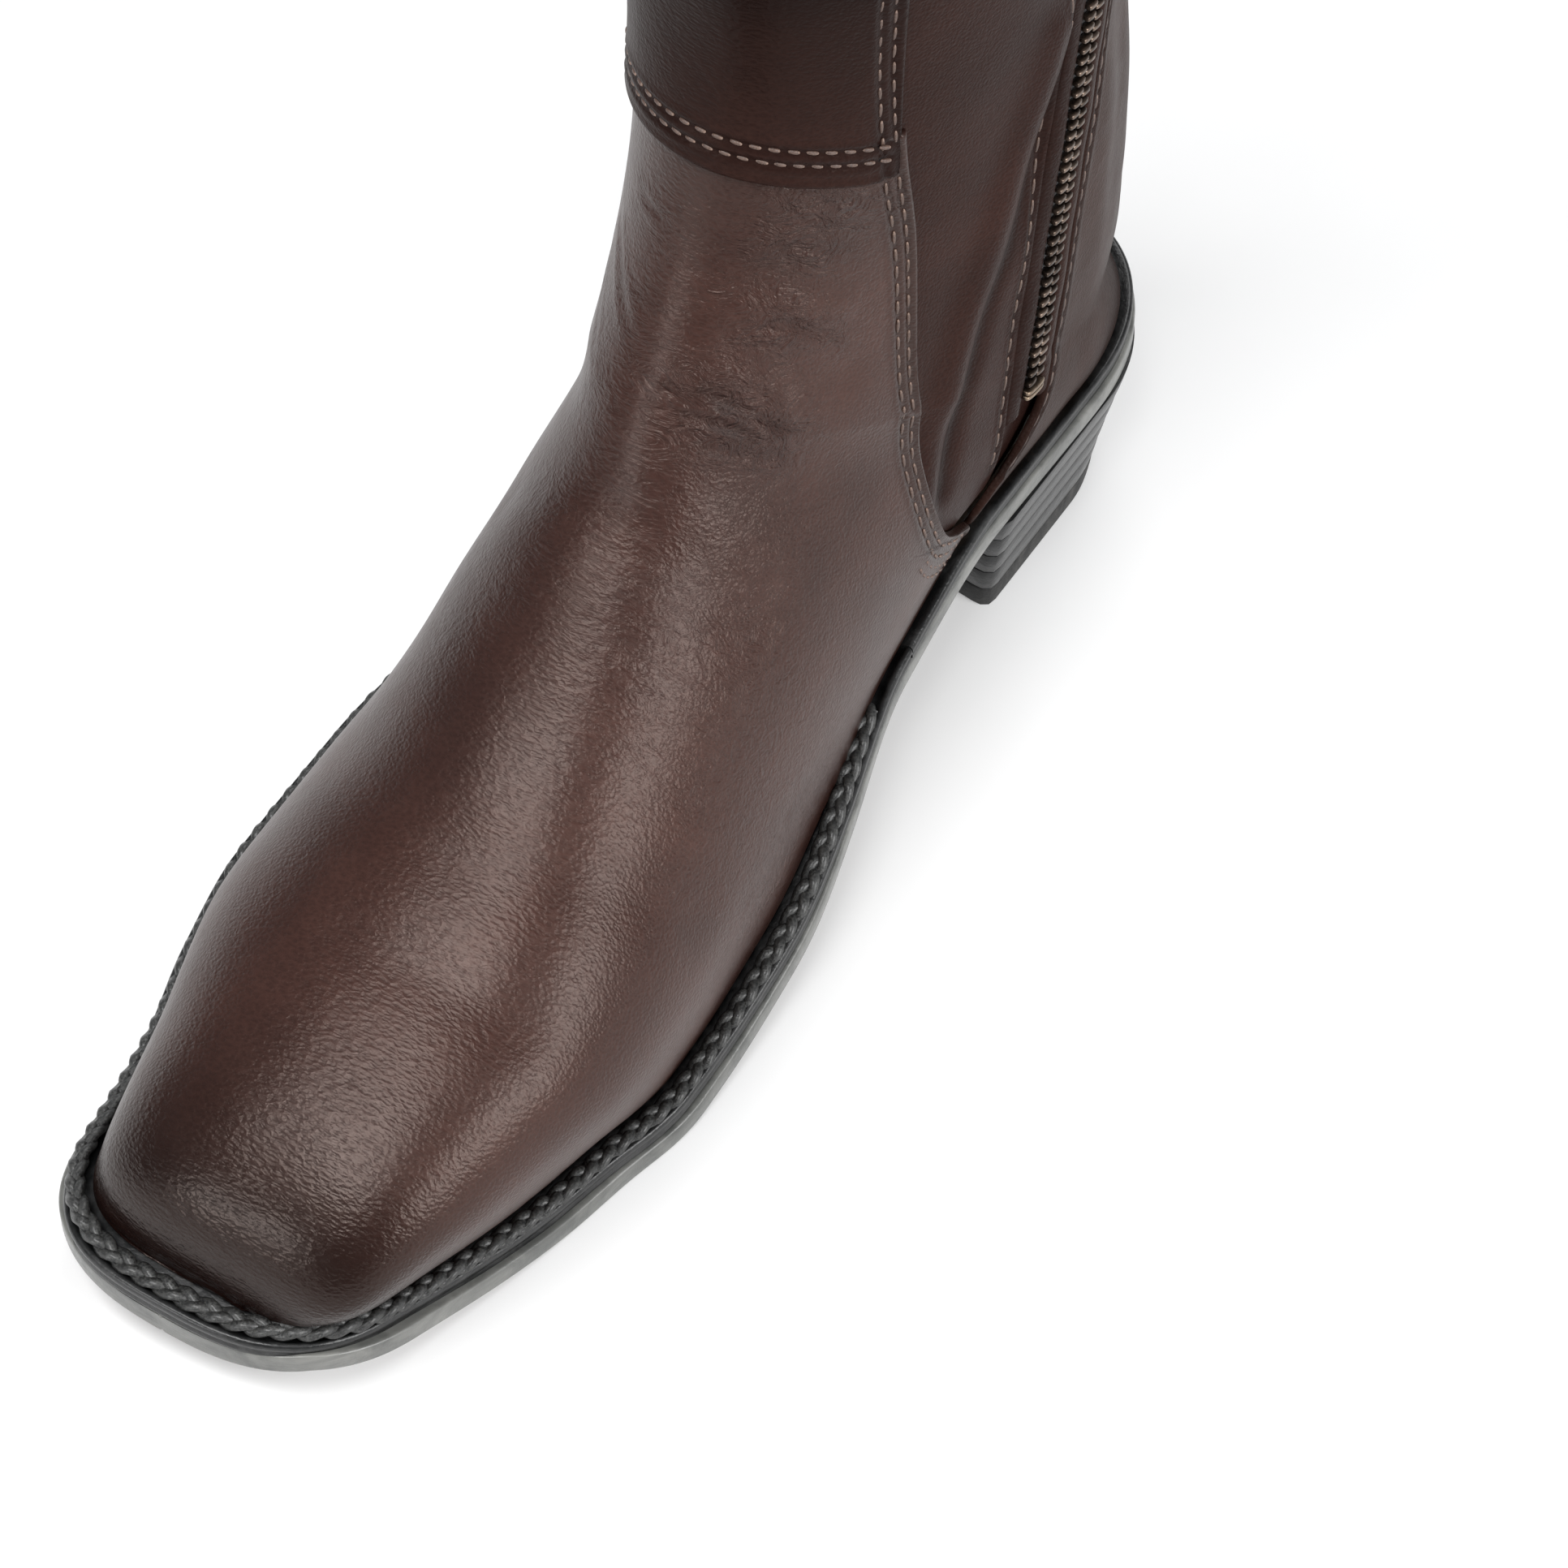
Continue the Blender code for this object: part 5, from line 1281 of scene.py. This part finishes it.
def make_pull_loop():
    """A strap over the back of the mouth: a leg on each side of the wall, joined by an arch, and two rows
    of stitches."""
    half, rise, leg, thick = 9.0, 16.0, 26.0, 1.7
    stations, sides = 120, 40
    _, y_edge, z_edge = last.at(top_row(0.0), 0.0)
    y_out, y_in = y_edge + 3.0, y_edge - 8.4
    middle, reach = (y_out + y_in) / 2, (y_out - y_in) / 2
    arch = [(middle + reach * math.cos(t), z_edge + rise - reach + reach * math.sin(t))
            for t in np.linspace(0, math.pi, 60)]
    path = evenly([(y_out - 1.2, z_edge - leg), *arch, (y_in - 2.6, z_edge - leg)], stations)
    ahead = np.gradient(path, axis=0)
    out = np.stack([ahead[:, 1], -ahead[:, 0]], axis=1) / np.linalg.norm(ahead, axis=1)[:, None]
    lift = 0.15 * np.sin(np.arange(stations) / 5.0)
    pinch = 1 - 0.12 * np.exp(-(((path[:, 1] - middle) / 6) ** 2))
    rings = []
    for wide, high in rounded_section(half - 0.1, thick / 2, 4.5, sides):
        flat = path + out * (thick / 2 + high + lift * (1 - (wide / half) ** 2))[:, None]
        rings.append(np.column_stack([wide * pinch, flat]))
    swept("pull_loop_strap", np.stack(rings, axis=1), leather("trim_leather"), "dark_leather", ["pull_loop"],
          burnish=np.full((stations, sides), 0.3))
    top, facing = (path + out * (thick + 0.02))[2:-2], out[2:-2]
    for number, x in enumerate((-6.6, 6.6), start=1):
        line = np.column_stack([np.full(len(top), x), top])
        stitches(f"loop_stitches_{number}", line, np.column_stack([np.zeros(len(top)), facing]), 3.2,
                 radius=0.3)


# -------------------------------------------------------------------------------------------- the inside zip


def zip_frame():
    """(top point, unit vectors down the zip, outwards and across) of the zip's straight line, and its
    length."""
    rows, turns = last.place([ZIP_TOP, ZIP_FOOT], 1)
    top, foot = last.at(rows, turns)
    down = (foot - top) / np.linalg.norm(foot - top)
    out = np.array([1.0, 0.0, 0.0])
    out = out - down * (out @ down)
    out = out / np.linalg.norm(out)
    return top, down, out, np.cross(out, down), np.linalg.norm(foot - top)


def make_zip_tapes():
    """The two strips of cloth that carry the teeth."""
    top, down, out, across, length = zip_frame()
    run = np.linspace(0, length, 160)
    for name, low, high in (("front", -ZIP_HALF + 0.4, -0.2), ("rear", 0.2, ZIP_HALF - 0.4)):
        rings = []
        for wide, thick in rounded_section((high - low) / 2, 0.32, 5, 16):
            spot = top + down * run[:, None] + across * ((low + high) / 2 + wide)
            rings.append(spot + out * (-1.9 + thick + 0.04 * np.sin(run * 2.5))[:, None])
        swept(f"zip_tape_{name}_web", np.stack(rings, axis=1), tape_cloth(), "zip_cloth",
              [f"zip_tape_{name}"])


def make_zip_teeth():
    """Two interlocked rows of cast teeth, and the stops at both ends."""
    top, down, out, across, length = zip_frame()
    centres = []
    for side in (-1, 1):
        run = np.arange(3.9 + (side > 0) * TOOTH_PITCH / 2, length - 3.6, TOOTH_PITCH)
        centres.append(top + down * run[:, None] + across * (side * 1.35) + out * -0.5)
    centres = np.vstack(centres)
    axes = [np.repeat(v[None], len(centres), 0) for v in (across, out, down)]
    bodies("zip_teeth", centres, *axes, (1.5, 0.85, 0.62), metal("zip_teeth_metal"), "zip_metal",
           ["zip_chain"], 4.0)
    for name, run, wide in (("bottom", length - 1.45, 3.3), ("top", 1.45, 3.1)):
        spots = top + down * (run + np.array([-0.62, 0.62]))[:, None] + out * -0.3
        axes = [np.repeat(v[None], 2, 0) for v in (across, out, down)]
        bodies(f"zip_{name}_stop_clip", spots, *axes, (wide, 1.05, 0.6), metal("zip_slider_metal"),
               "zip_metal", [f"zip_{name}_stop"], 3.5, rings=12, spokes=14)


def make_zip_lips():
    """The folded leather lips on both sides of the teeth, from the panels' edges down to the tape."""
    top, down, out, across, length = zip_frame()
    run = np.linspace(-7.9, length + 3, 220)
    line = top + down * run[:, None]
    # the front lip's higher level is painted shade where it turns in behind the side panel
    for name, hide, burnish, sign, near, tuck, thick in (
            ("rear", "quarter_leather", 0.25, 1, 3.15, -0.8, 0.85),
            ("front", "side_leather", 0.55, -1, 3.3, -2.3, 0.6)):
        reach = sign * (ZIP_HALF + 1.6)
        row, turn = last.place(np.column_stack([line[:, 1] + reach, line[:, 2]]), 1)
        far = last.at(row, turn, tuck)
        close = line + across * (sign * near) + out * (-0.95 + 0.12 * np.sin(run / 7)[:, None])
        middle, span = (far + close) / 2, far - close
        width = np.linalg.norm(span, axis=1)
        span /= width[:, None]
        up = np.cross(span, down)
        up *= np.sign((up * out).sum(1, keepdims=True))
        rings = []
        for wide, high in rounded_section(1.0, thick, 2.6, 24):
            swell = high + 0.25 * (1 - wide**2) * (high > 0) + 0.08 * np.sin(run / 3.1)
            rings.append(middle + span * (wide * width / 2)[:, None] + up * swell[:, None])
        swept(f"zip_lip_{name}", np.stack(rings, axis=1), leather(hide), "dark_leather",
              burnish=np.full((len(run), 24), burnish))


def dress_kept_nodes():
    """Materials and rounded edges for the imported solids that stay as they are."""
    given = {"zip_slider": (metal("zip_slider_metal"), 0.45), "zip_pull": (metal("zip_slider_metal"), 0.35),
             "shank": (metal("plain_steel"), 0.4), "cork_filler": (cork_grain(),
                                                                   0.3), "insole_rib": (leatherboard(), 0.3)}
    for name, (finish, radius) in given.items():
        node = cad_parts[name]
        if not node.material_slots:
            node.data.materials.append(None)
        for place in node.material_slots:
            place.material = finish
        bevel = node.modifiers.new("rounded", "BEVEL")
        bevel.width = radius * MM
        bevel.segments = 3
        bevel.limit_method = "ANGLE"
        bevel.angle_limit = math.radians(38)
        bevel.harden_normals = False


# --------------------------------------------------------------------------------------------- sole and heel


def plan_sides(out, y_from, y_to, count):
    """(inner side, outer side) of the feather line moved outwards by out(y), from y_from to y_to, as plan
    points."""
    y = foot_stations(2400)
    half = edge_half(y)
    sides = []
    for sign in (1, -1):
        line = np.stack([foot_centre(y) + sign * half, y], axis=1)
        mirrored = np.stack([foot_centre(y) - sign * half, y], axis=1)
        whole = np.vstack([mirrored[2:0:-1], line, mirrored[-2:-4:-1]])
        ahead = unit(np.gradient(whole, axis=0)[2:-2])
        moved = line + sign * np.stack([-ahead[:, 1], ahead[:, 0]], axis=1) * out(y)[:, None]
        keep = (y <= max(y_from, y_to) + 1e-9) & (y >= min(y_from, y_to) - 1e-9)
        sides.append(evenly(moved[keep], count))
    return sides


# How far the sole's edge stands outside the feather line, by y
edge_out = monotone([(-264, WELT_OUT), (-130, WELT_OUT - 0.5), (WELT_END_Y, WAIST_OUT), (-30, HEEL_OUT),
                     (40, HEEL_OUT)])


def constant(value):
    return lambda y: np.full(np.shape(y), float(value))


def foot_height(y):
    return feather_z(np.clip(y, TIP_Y, SEAT_Y))


def slab(name, out, y_from, y_to, low, high, finish, slot, replaces, rows=200, columns=40, radius=0.6,
         top=None,
         bottom=None):
    """A layer of the sole; low and high are heights over the feather line, and top and bottom add to them
    by place."""
    inner, outer = plan_sides(out, y_from, y_to, rows)
    across = edged(columns, 80.0)[None, :, None]
    flat = inner[:, None] * (1 - across) + outer[:, None] * across
    edge = border_distance(np.concatenate([flat, np.zeros((*flat.shape[:2], 1))], axis=2))
    drop = rounding(edge, radius)
    height = foot_height(flat[..., 1])
    up = height + high - drop + (top(flat, edge) if top else 0)
    down = height + low + drop + (bottom(flat, edge) if bottom else 0)
    grids = [np.concatenate([flat, z[..., None]], axis=2) for z in (down, up)]
    made = solid_between(name, *grids, finish, slot, replaces)
    under = made.data.attributes.new("under", "FLOAT", "POINT")
    worn = np.clip(edge.reshape(-1) / 1.5, 0, 1)
    under.data.foreach_set("value", np.concatenate([worn, np.zeros(len(worn))]).astype(np.float32))
    return made


def border_path(out, y_end, y_tip, count):
    """Plan points and outward directions along the feather line, from y_end on one side round to the
    other."""
    near = plan_sides(lambda y: out(y) - 0.5, y_end, y_tip, count)
    far = plan_sides(lambda y: out(y) + 0.5, y_end, y_tip, count)
    if y_tip > 0:
        near, far = [s[::-1] for s in near], [s[::-1] for s in far]
    near, far = (np.vstack([a, b[-2::-1]]) for a, b in (near, far))
    aim = far - near
    return (near + far) / 2, unit(aim)


def edge_strip(name, outline, y_end, y_tip, finish, slot, replaces, count=260):
    """A strip swept along the feather line; outline(y) gives its shape there as (out, height) columns."""
    base, aim = border_path(constant(0.0), y_end, y_tip, count)
    height = foot_height(base[:, 1])
    out, up = outline(base[:, 1])
    rings = np.concatenate([base[:, None] + aim[:, None] * out[..., None], (height[:, None] + up)[..., None]],
                           axis=2)
    return swept(name, rings, finish, slot, replaces)


def section(y, inner, rim):
    """(out, height) columns of a strip: inner is (out, height) from the feather line, rim is (inset,
    height)."""
    edge = edge_out(y)[:, None]
    out = [np.minimum(place, edge - 3.2) for place, _ in inner] + [edge - inset for inset, _ in rim]
    return np.hstack(out), np.hstack([np.full_like(edge, height) for _, height in inner + rim])


STRIP_FOOT = -GAP - WELT_THICK - 0.25


def welt_section(y):
    """A flat strip with a bed for the braid and a raised, rounded rim along its outer edge."""
    inner = [(-2.0, STRIP_FOOT), (-2.0, -0.3), (1.2, -0.3), (2.2, -0.65)]
    rim = [(2.5, -0.7), (1.9, -0.45), (1.5, 0.15), (1.05, 0.62), (0.55, 0.72), (0.12, 0.5), (-0.15, 0.05),
           (-0.2, -0.6), (0.0, -1.15), (0.28, -1.5), (0.2, -2.0), (-0.05,
                                                                   -2.6), (0.02, -3.1), (0.4, STRIP_FOOT)]
    return section(y, inner, rim)


def rand_section(y):
    """The plain rounded strip round the heel's seat."""
    rim = [(2.2, -0.5), (1.2, -0.05), (0.5, -0.15), (0.1, -0.6), (0.0, -1.3), (0.3, -1.9), (0.1, -2.5),
           (0.1, -3.1), (0.5, STRIP_FOOT)]
    return section(y, [(-2.0, STRIP_FOOT), (-2.0, -0.8)], rim)


def cord_place(y):
    """How far the cord's middle lies outside the feather line."""
    return np.minimum(BRAID_OUT, edge_out(y) - 2.9)


def make_braid():
    """The cord on the welt: three strands plaited, each a round tube, in one piece."""
    base, aim = border_path(cord_place, WELT_END_Y - 14, TIP_Y, 900)
    run = run_along(base)
    centre = np.column_stack([base, foot_height(base[:, 1]) + BRAID_RISE])
    side = np.column_stack([aim, np.zeros(len(aim))])
    sides, points = 9, []
    for strand in range(3):
        turn = 2 * math.pi * (run / BRAID_PERIOD + strand / 3)
        line = centre + side * (BRAID_SWING * np.sin(turn))[:, None]
        line[:, 2] += BRAID_LIFT * np.sin(2 * turn)
        ahead = unit(np.gradient(line, axis=0))
        lift = unit(np.cross(ahead, side))
        flank = np.cross(lift, ahead)
        for angle in 2 * math.pi * np.arange(sides) / sides:
            points.append(line + flank * (BRAID_WIDE * math.cos(angle)) + lift
                          * (BRAID_HIGH * math.sin(angle)))
    rings = np.stack(points, axis=1)
    index = np.arange(len(rings) * 3 * sides).reshape(len(rings), 3, sides)
    after = np.roll(index, -1, axis=2)
    quads = np.stack([index[:-1], after[:-1], after[1:], index[1:]], axis=-1).reshape(-1, 4)
    flat = rings.reshape(-1, 3)
    ends, caps = [], []
    for strand in range(3):
        for station, flip in ((0, 1), (-1, -1)):
            hub = np.full(sides, len(flat) + len(ends))
            ends.append(rings[station, strand * sides:(strand + 1) * sides].mean(0))
            caps.append(np.stack([hub, after[station, strand], index[station, strand]][::flip], axis=1))
    blocks = [quads, np.vstack(caps)]
    if outwards(flat, quads) < 0:
        blocks = [block[:, ::-1] for block in blocks]
    add_piece("welt_braid_cord", np.vstack([flat, ends]), blocks, cord_black(), "black_leather",
              ["welt_braid"])


def heel_outline(share):
    """The heel's plan at a height, from its tread (0) to its seat (1): a straight breast and a rounded
    back."""
    rear = TREAD_REAR_Y + (SEAT_Y + HEEL_OUT - TREAD_REAR_Y) * share**1.3
    front = TREAD_FRONT_Y + (HEEL_BREAST_Y - TREAD_FRONT_Y) * share
    half = TREAD_HALF + (foot_half(0.0) + HEEL_OUT - TREAD_HALF) * share**1.3
    round_from = rear - half * 1.02
    turn = np.linspace(0, math.pi, 90)
    arc = np.column_stack([half * np.cos(turn), round_from + (rear - round_from) * np.sin(turn)])
    corner = [(half, front + 3.0), (half - 0.4, front + 1.1), (half - 1.4, front + 0.2), (half - 3.0, front)]
    breast = [(x, front + 1.6 * (1 - (x / (half - 3)) ** 2))
              for x in np.linspace(-half + 3, half - 3, 24)[1:-1]]
    left = [(-x, y) for x, y in corner]
    return evenly(np.vstack([corner[:1], arc, left, breast, corner[::-1]]), 113)[:-1]


def make_block(name, low, high, shares, finish, slot, replaces, radius, bulge):
    """A flat slice of the heel with fine rounded edges, between two heights."""
    middle = (low + high) / 2
    cuts = [(low, radius), (low + radius * 0.3, radius * 0.3), (low + radius, 0), (middle, -bulge),
            (high - radius, 0), (high - radius * 0.3, radius * 0.3), (high, radius)]
    rings = []
    for z, inset in cuts:
        share = shares[0] + (shares[1] - shares[0]) * (z - low) / (high - low)
        outline = heel_outline(share)
        ahead = unit(np.roll(outline, -1, axis=0) - np.roll(outline, 1, axis=0))
        inward = np.stack([-ahead[:, 1], ahead[:, 0]], axis=1)
        inward *= np.sign((inward * (outline.mean(0) - outline)).sum())
        rings.append(np.column_stack([outline + inward * inset, np.full(len(outline), z)]))
    inner = [ring.mean(0) + (ring - ring.mean(0)) * (0.8, 0.8, 1) for ring in (rings[0], rings[-1])]
    return swept(name, np.stack([inner[0], *rings, inner[1]]), finish, slot, replaces)


def make_heel():
    """The stacked lifts, the top piece on the floor and the heads of its nails."""
    top = SEAT_Z - GAP - WELT_THICK - SOLE_GAP - SOLE_THICK - GAP
    height = (top - TOP_PIECE_THICK) / LIFT_COUNT
    for number in range(1, LIFT_COUNT + 1):
        high = top - (number - 1) * height + 0.05
        low = high - height + 0.1
        make_block(f"heel_stack_{number}", low, high, (low / top, high / top), polished_black(),
                   "black_leather", [f"heel_lift_{number}"], 0.28, 0.12)
    make_block("heel_tread_block", 0.0, TOP_PIECE_THICK, (0.0, TOP_PIECE_THICK / top), tread_rubber(),
               "rubber", ["heel_top_piece"], 0.6, 0.15)
    for number, (x, y) in enumerate(NAIL_PLACES, start=1):
        bodies(f"heel_nail_head_{number}", np.array([[x, y, 1.0]]), [[0, 0, 1.0]], [[0, 1.0, 0]],
               [[1.0, 0, 0]],
               (0.9, 1.5, 1.5), metal("plain_steel"), "steel", [f"heel_nail_{number}"], 3.0, 9, 20)


def make_sole():
    """Outsole, welt, heel seat rand, insole and sock pad."""
    under_welt = -GAP - WELT_THICK
    sole_top = under_welt - SOLE_GAP + 0.3

    def tread(flat, edge):
        channel = 0.45 * bell(edge, 5.5, 0.6) * (flat[..., 1] < -78)
        wear = 0.12 * np.sin(flat[..., 0] / 9 + flat[..., 1] / 14)
        return channel + wear * ramp(edge, 0, 8) * 0.4

    slab("sole_slab", edge_out, SEAT_Y, TIP_Y, sole_top - SOLE_THICK - 0.3, sole_top, sole_edge(),
         "sole_leather", ["outsole"], 300, 60, 0.85, None, tread)
    edge_strip("welt_strip", welt_section, WELT_END_Y, TIP_Y, polished_black(), "black_leather", ["welt"])
    edge_strip("heel_seat_strip", rand_section, WELT_END_Y + 0.6, SEAT_Y, polished_black(), "black_leather",
               ["heel_seat_rand"], 150)
    slab("insole_board", constant(-INSOLE_IN), SEAT_Y - INSOLE_IN, TIP_Y + 2, 0.0, INSOLE_THICK,
         lining_hide(), "lining_leather", ["insole"], 120, 24, 0.5)

    def crowned(flat, edge):
        return 0.9 * ramp(edge, 0, 18) ** 0.7 - 0.6 * bell(edge, 3.0, 0.8)

    pad = slab("heel_sock_pad", constant(-INSOLE_IN - 1.2), SEAT_Y - 7, -52.0, INSOLE_THICK + GAP,
               INSOLE_THICK + GAP + 1.6, lining_hide(), "lining_leather", ["sock_pad"], 120, 40, 0.6, crowned)


# -------------------------------------------------------------------------------------- floor, light, camera


def make_floor():
    """A pale studio floor, in metres, that bends up far behind the boot."""
    s = Shader("studio_floor", roughness=0.55, specular=0.25)
    s.bsdf.inputs["Emission Color"].default_value = (1, 1, 1, 1)
    s.bsdf.inputs["Emission Strength"].default_value = FLOOR_GLOW
    grain = s.noise(30, 3.0, 0.5)
    colour = s.mixed(grain, (0.53, 0.53, 0.53), (0.56, 0.56, 0.56))
    finish = s.finish(colour, s.line(grain, 0.1, 0.5), s.bump(grain, 0.02, 0.001))
    reach, bend, steps, columns = 9.0, 0.8, 40, 20
    turn = np.linspace(0, math.pi / 2, steps)[1:]
    y = np.concatenate([np.linspace(-reach, reach, steps), reach + bend * np.sin(turn)])
    z = np.concatenate([np.zeros(steps), bend * (1 - np.cos(turn))])
    points = [(x, *spot) for spot in zip(y, z) for x in np.linspace(-reach, reach, columns)]
    quads, _ = grid_faces(len(y), columns)
    mesh = bpy.data.meshes.new("studio_floor")
    mesh.from_pydata(points, [], quads[:, ::-1].tolist())
    mesh.shade_smooth()
    mesh.materials.append(finish)
    floor_object = bpy.data.objects.new("studio_floor", mesh)
    bpy.context.scene.collection.objects.link(floor_object)


def area_light(name, place, aim, size, energy):
    data = bpy.data.lights.new(name, "AREA")
    data.shape = "RECTANGLE"
    data.size, data.size_y = size
    data.energy = energy
    lamp = bpy.data.objects.new(name, data)
    lamp.location = place
    lamp.rotation_euler = (Vector(aim) - Vector(place)).to_track_quat("-Z", "Y").to_euler()
    bpy.context.scene.collection.objects.link(lamp)


def make_light():
    world = bpy.data.worlds.new("studio")
    bpy.context.scene.world = world
    world.use_nodes = True
    sky = world.node_tree.nodes["Background"].inputs
    sky["Color"].default_value = (0.93, 0.96, 1.0, 1.0)
    sky["Strength"].default_value = 0.2
    area_light("overhead", (-0.1, -0.68, 1.4), (0, -0.14, 0.08), (1.1, 0.45), 23)
    area_light("low_front", (-0.45, -1.4, 0.5), (0, -0.2, 0.05), (0.5, 0.4), 6)
    area_light("rear_side", (-0.4, 1.0, 1.1), (0, -0.05, 0.15), (0.8, 0.8), 8)
    area_light("inner_side", (1.25, -0.2, 0.72), (0, -0.12, 0.08), (0.7, 0.8), 20)


def make_view():
    """Colours shown as they are, so that the floor stays white and the dark leather keeps its depth."""
    bpy.context.scene.view_settings.view_transform = "Standard"


def make_camera():
    data = bpy.data.cameras.new("camera")
    data.lens, data.sensor_width = 135.0, 36.0
    data.clip_start, data.clip_end = 0.05, 20
    azimuth, elevation = math.radians(CAMERA_AZIMUTH), math.radians(CAMERA_ELEVATION)
    flat = math.cos(elevation)
    back = Vector((math.sin(azimuth) * flat, -math.cos(azimuth) * flat, math.sin(elevation)))
    camera = bpy.data.objects.new("camera", data)
    camera.location = Vector(CAMERA_TARGET) + back * CAMERA_DISTANCE
    camera.rotation_euler = back.to_track_quat("Z", "Y").to_euler()
    bpy.context.scene.collection.objects.link(camera)
    bpy.context.scene.camera = camera


for make in (make_camera, make_view, make_light, make_floor, make_vamp, make_front_panel, make_quarter,
             make_medial_gusset, make_zip_foot, make_lateral_side, make_gore, make_inner_layers,
             make_top_binding, make_pull_loop, make_zip_tapes, make_zip_teeth, make_zip_lips, make_sole,
             make_braid, make_heel, dress_kept_nodes):
    make()
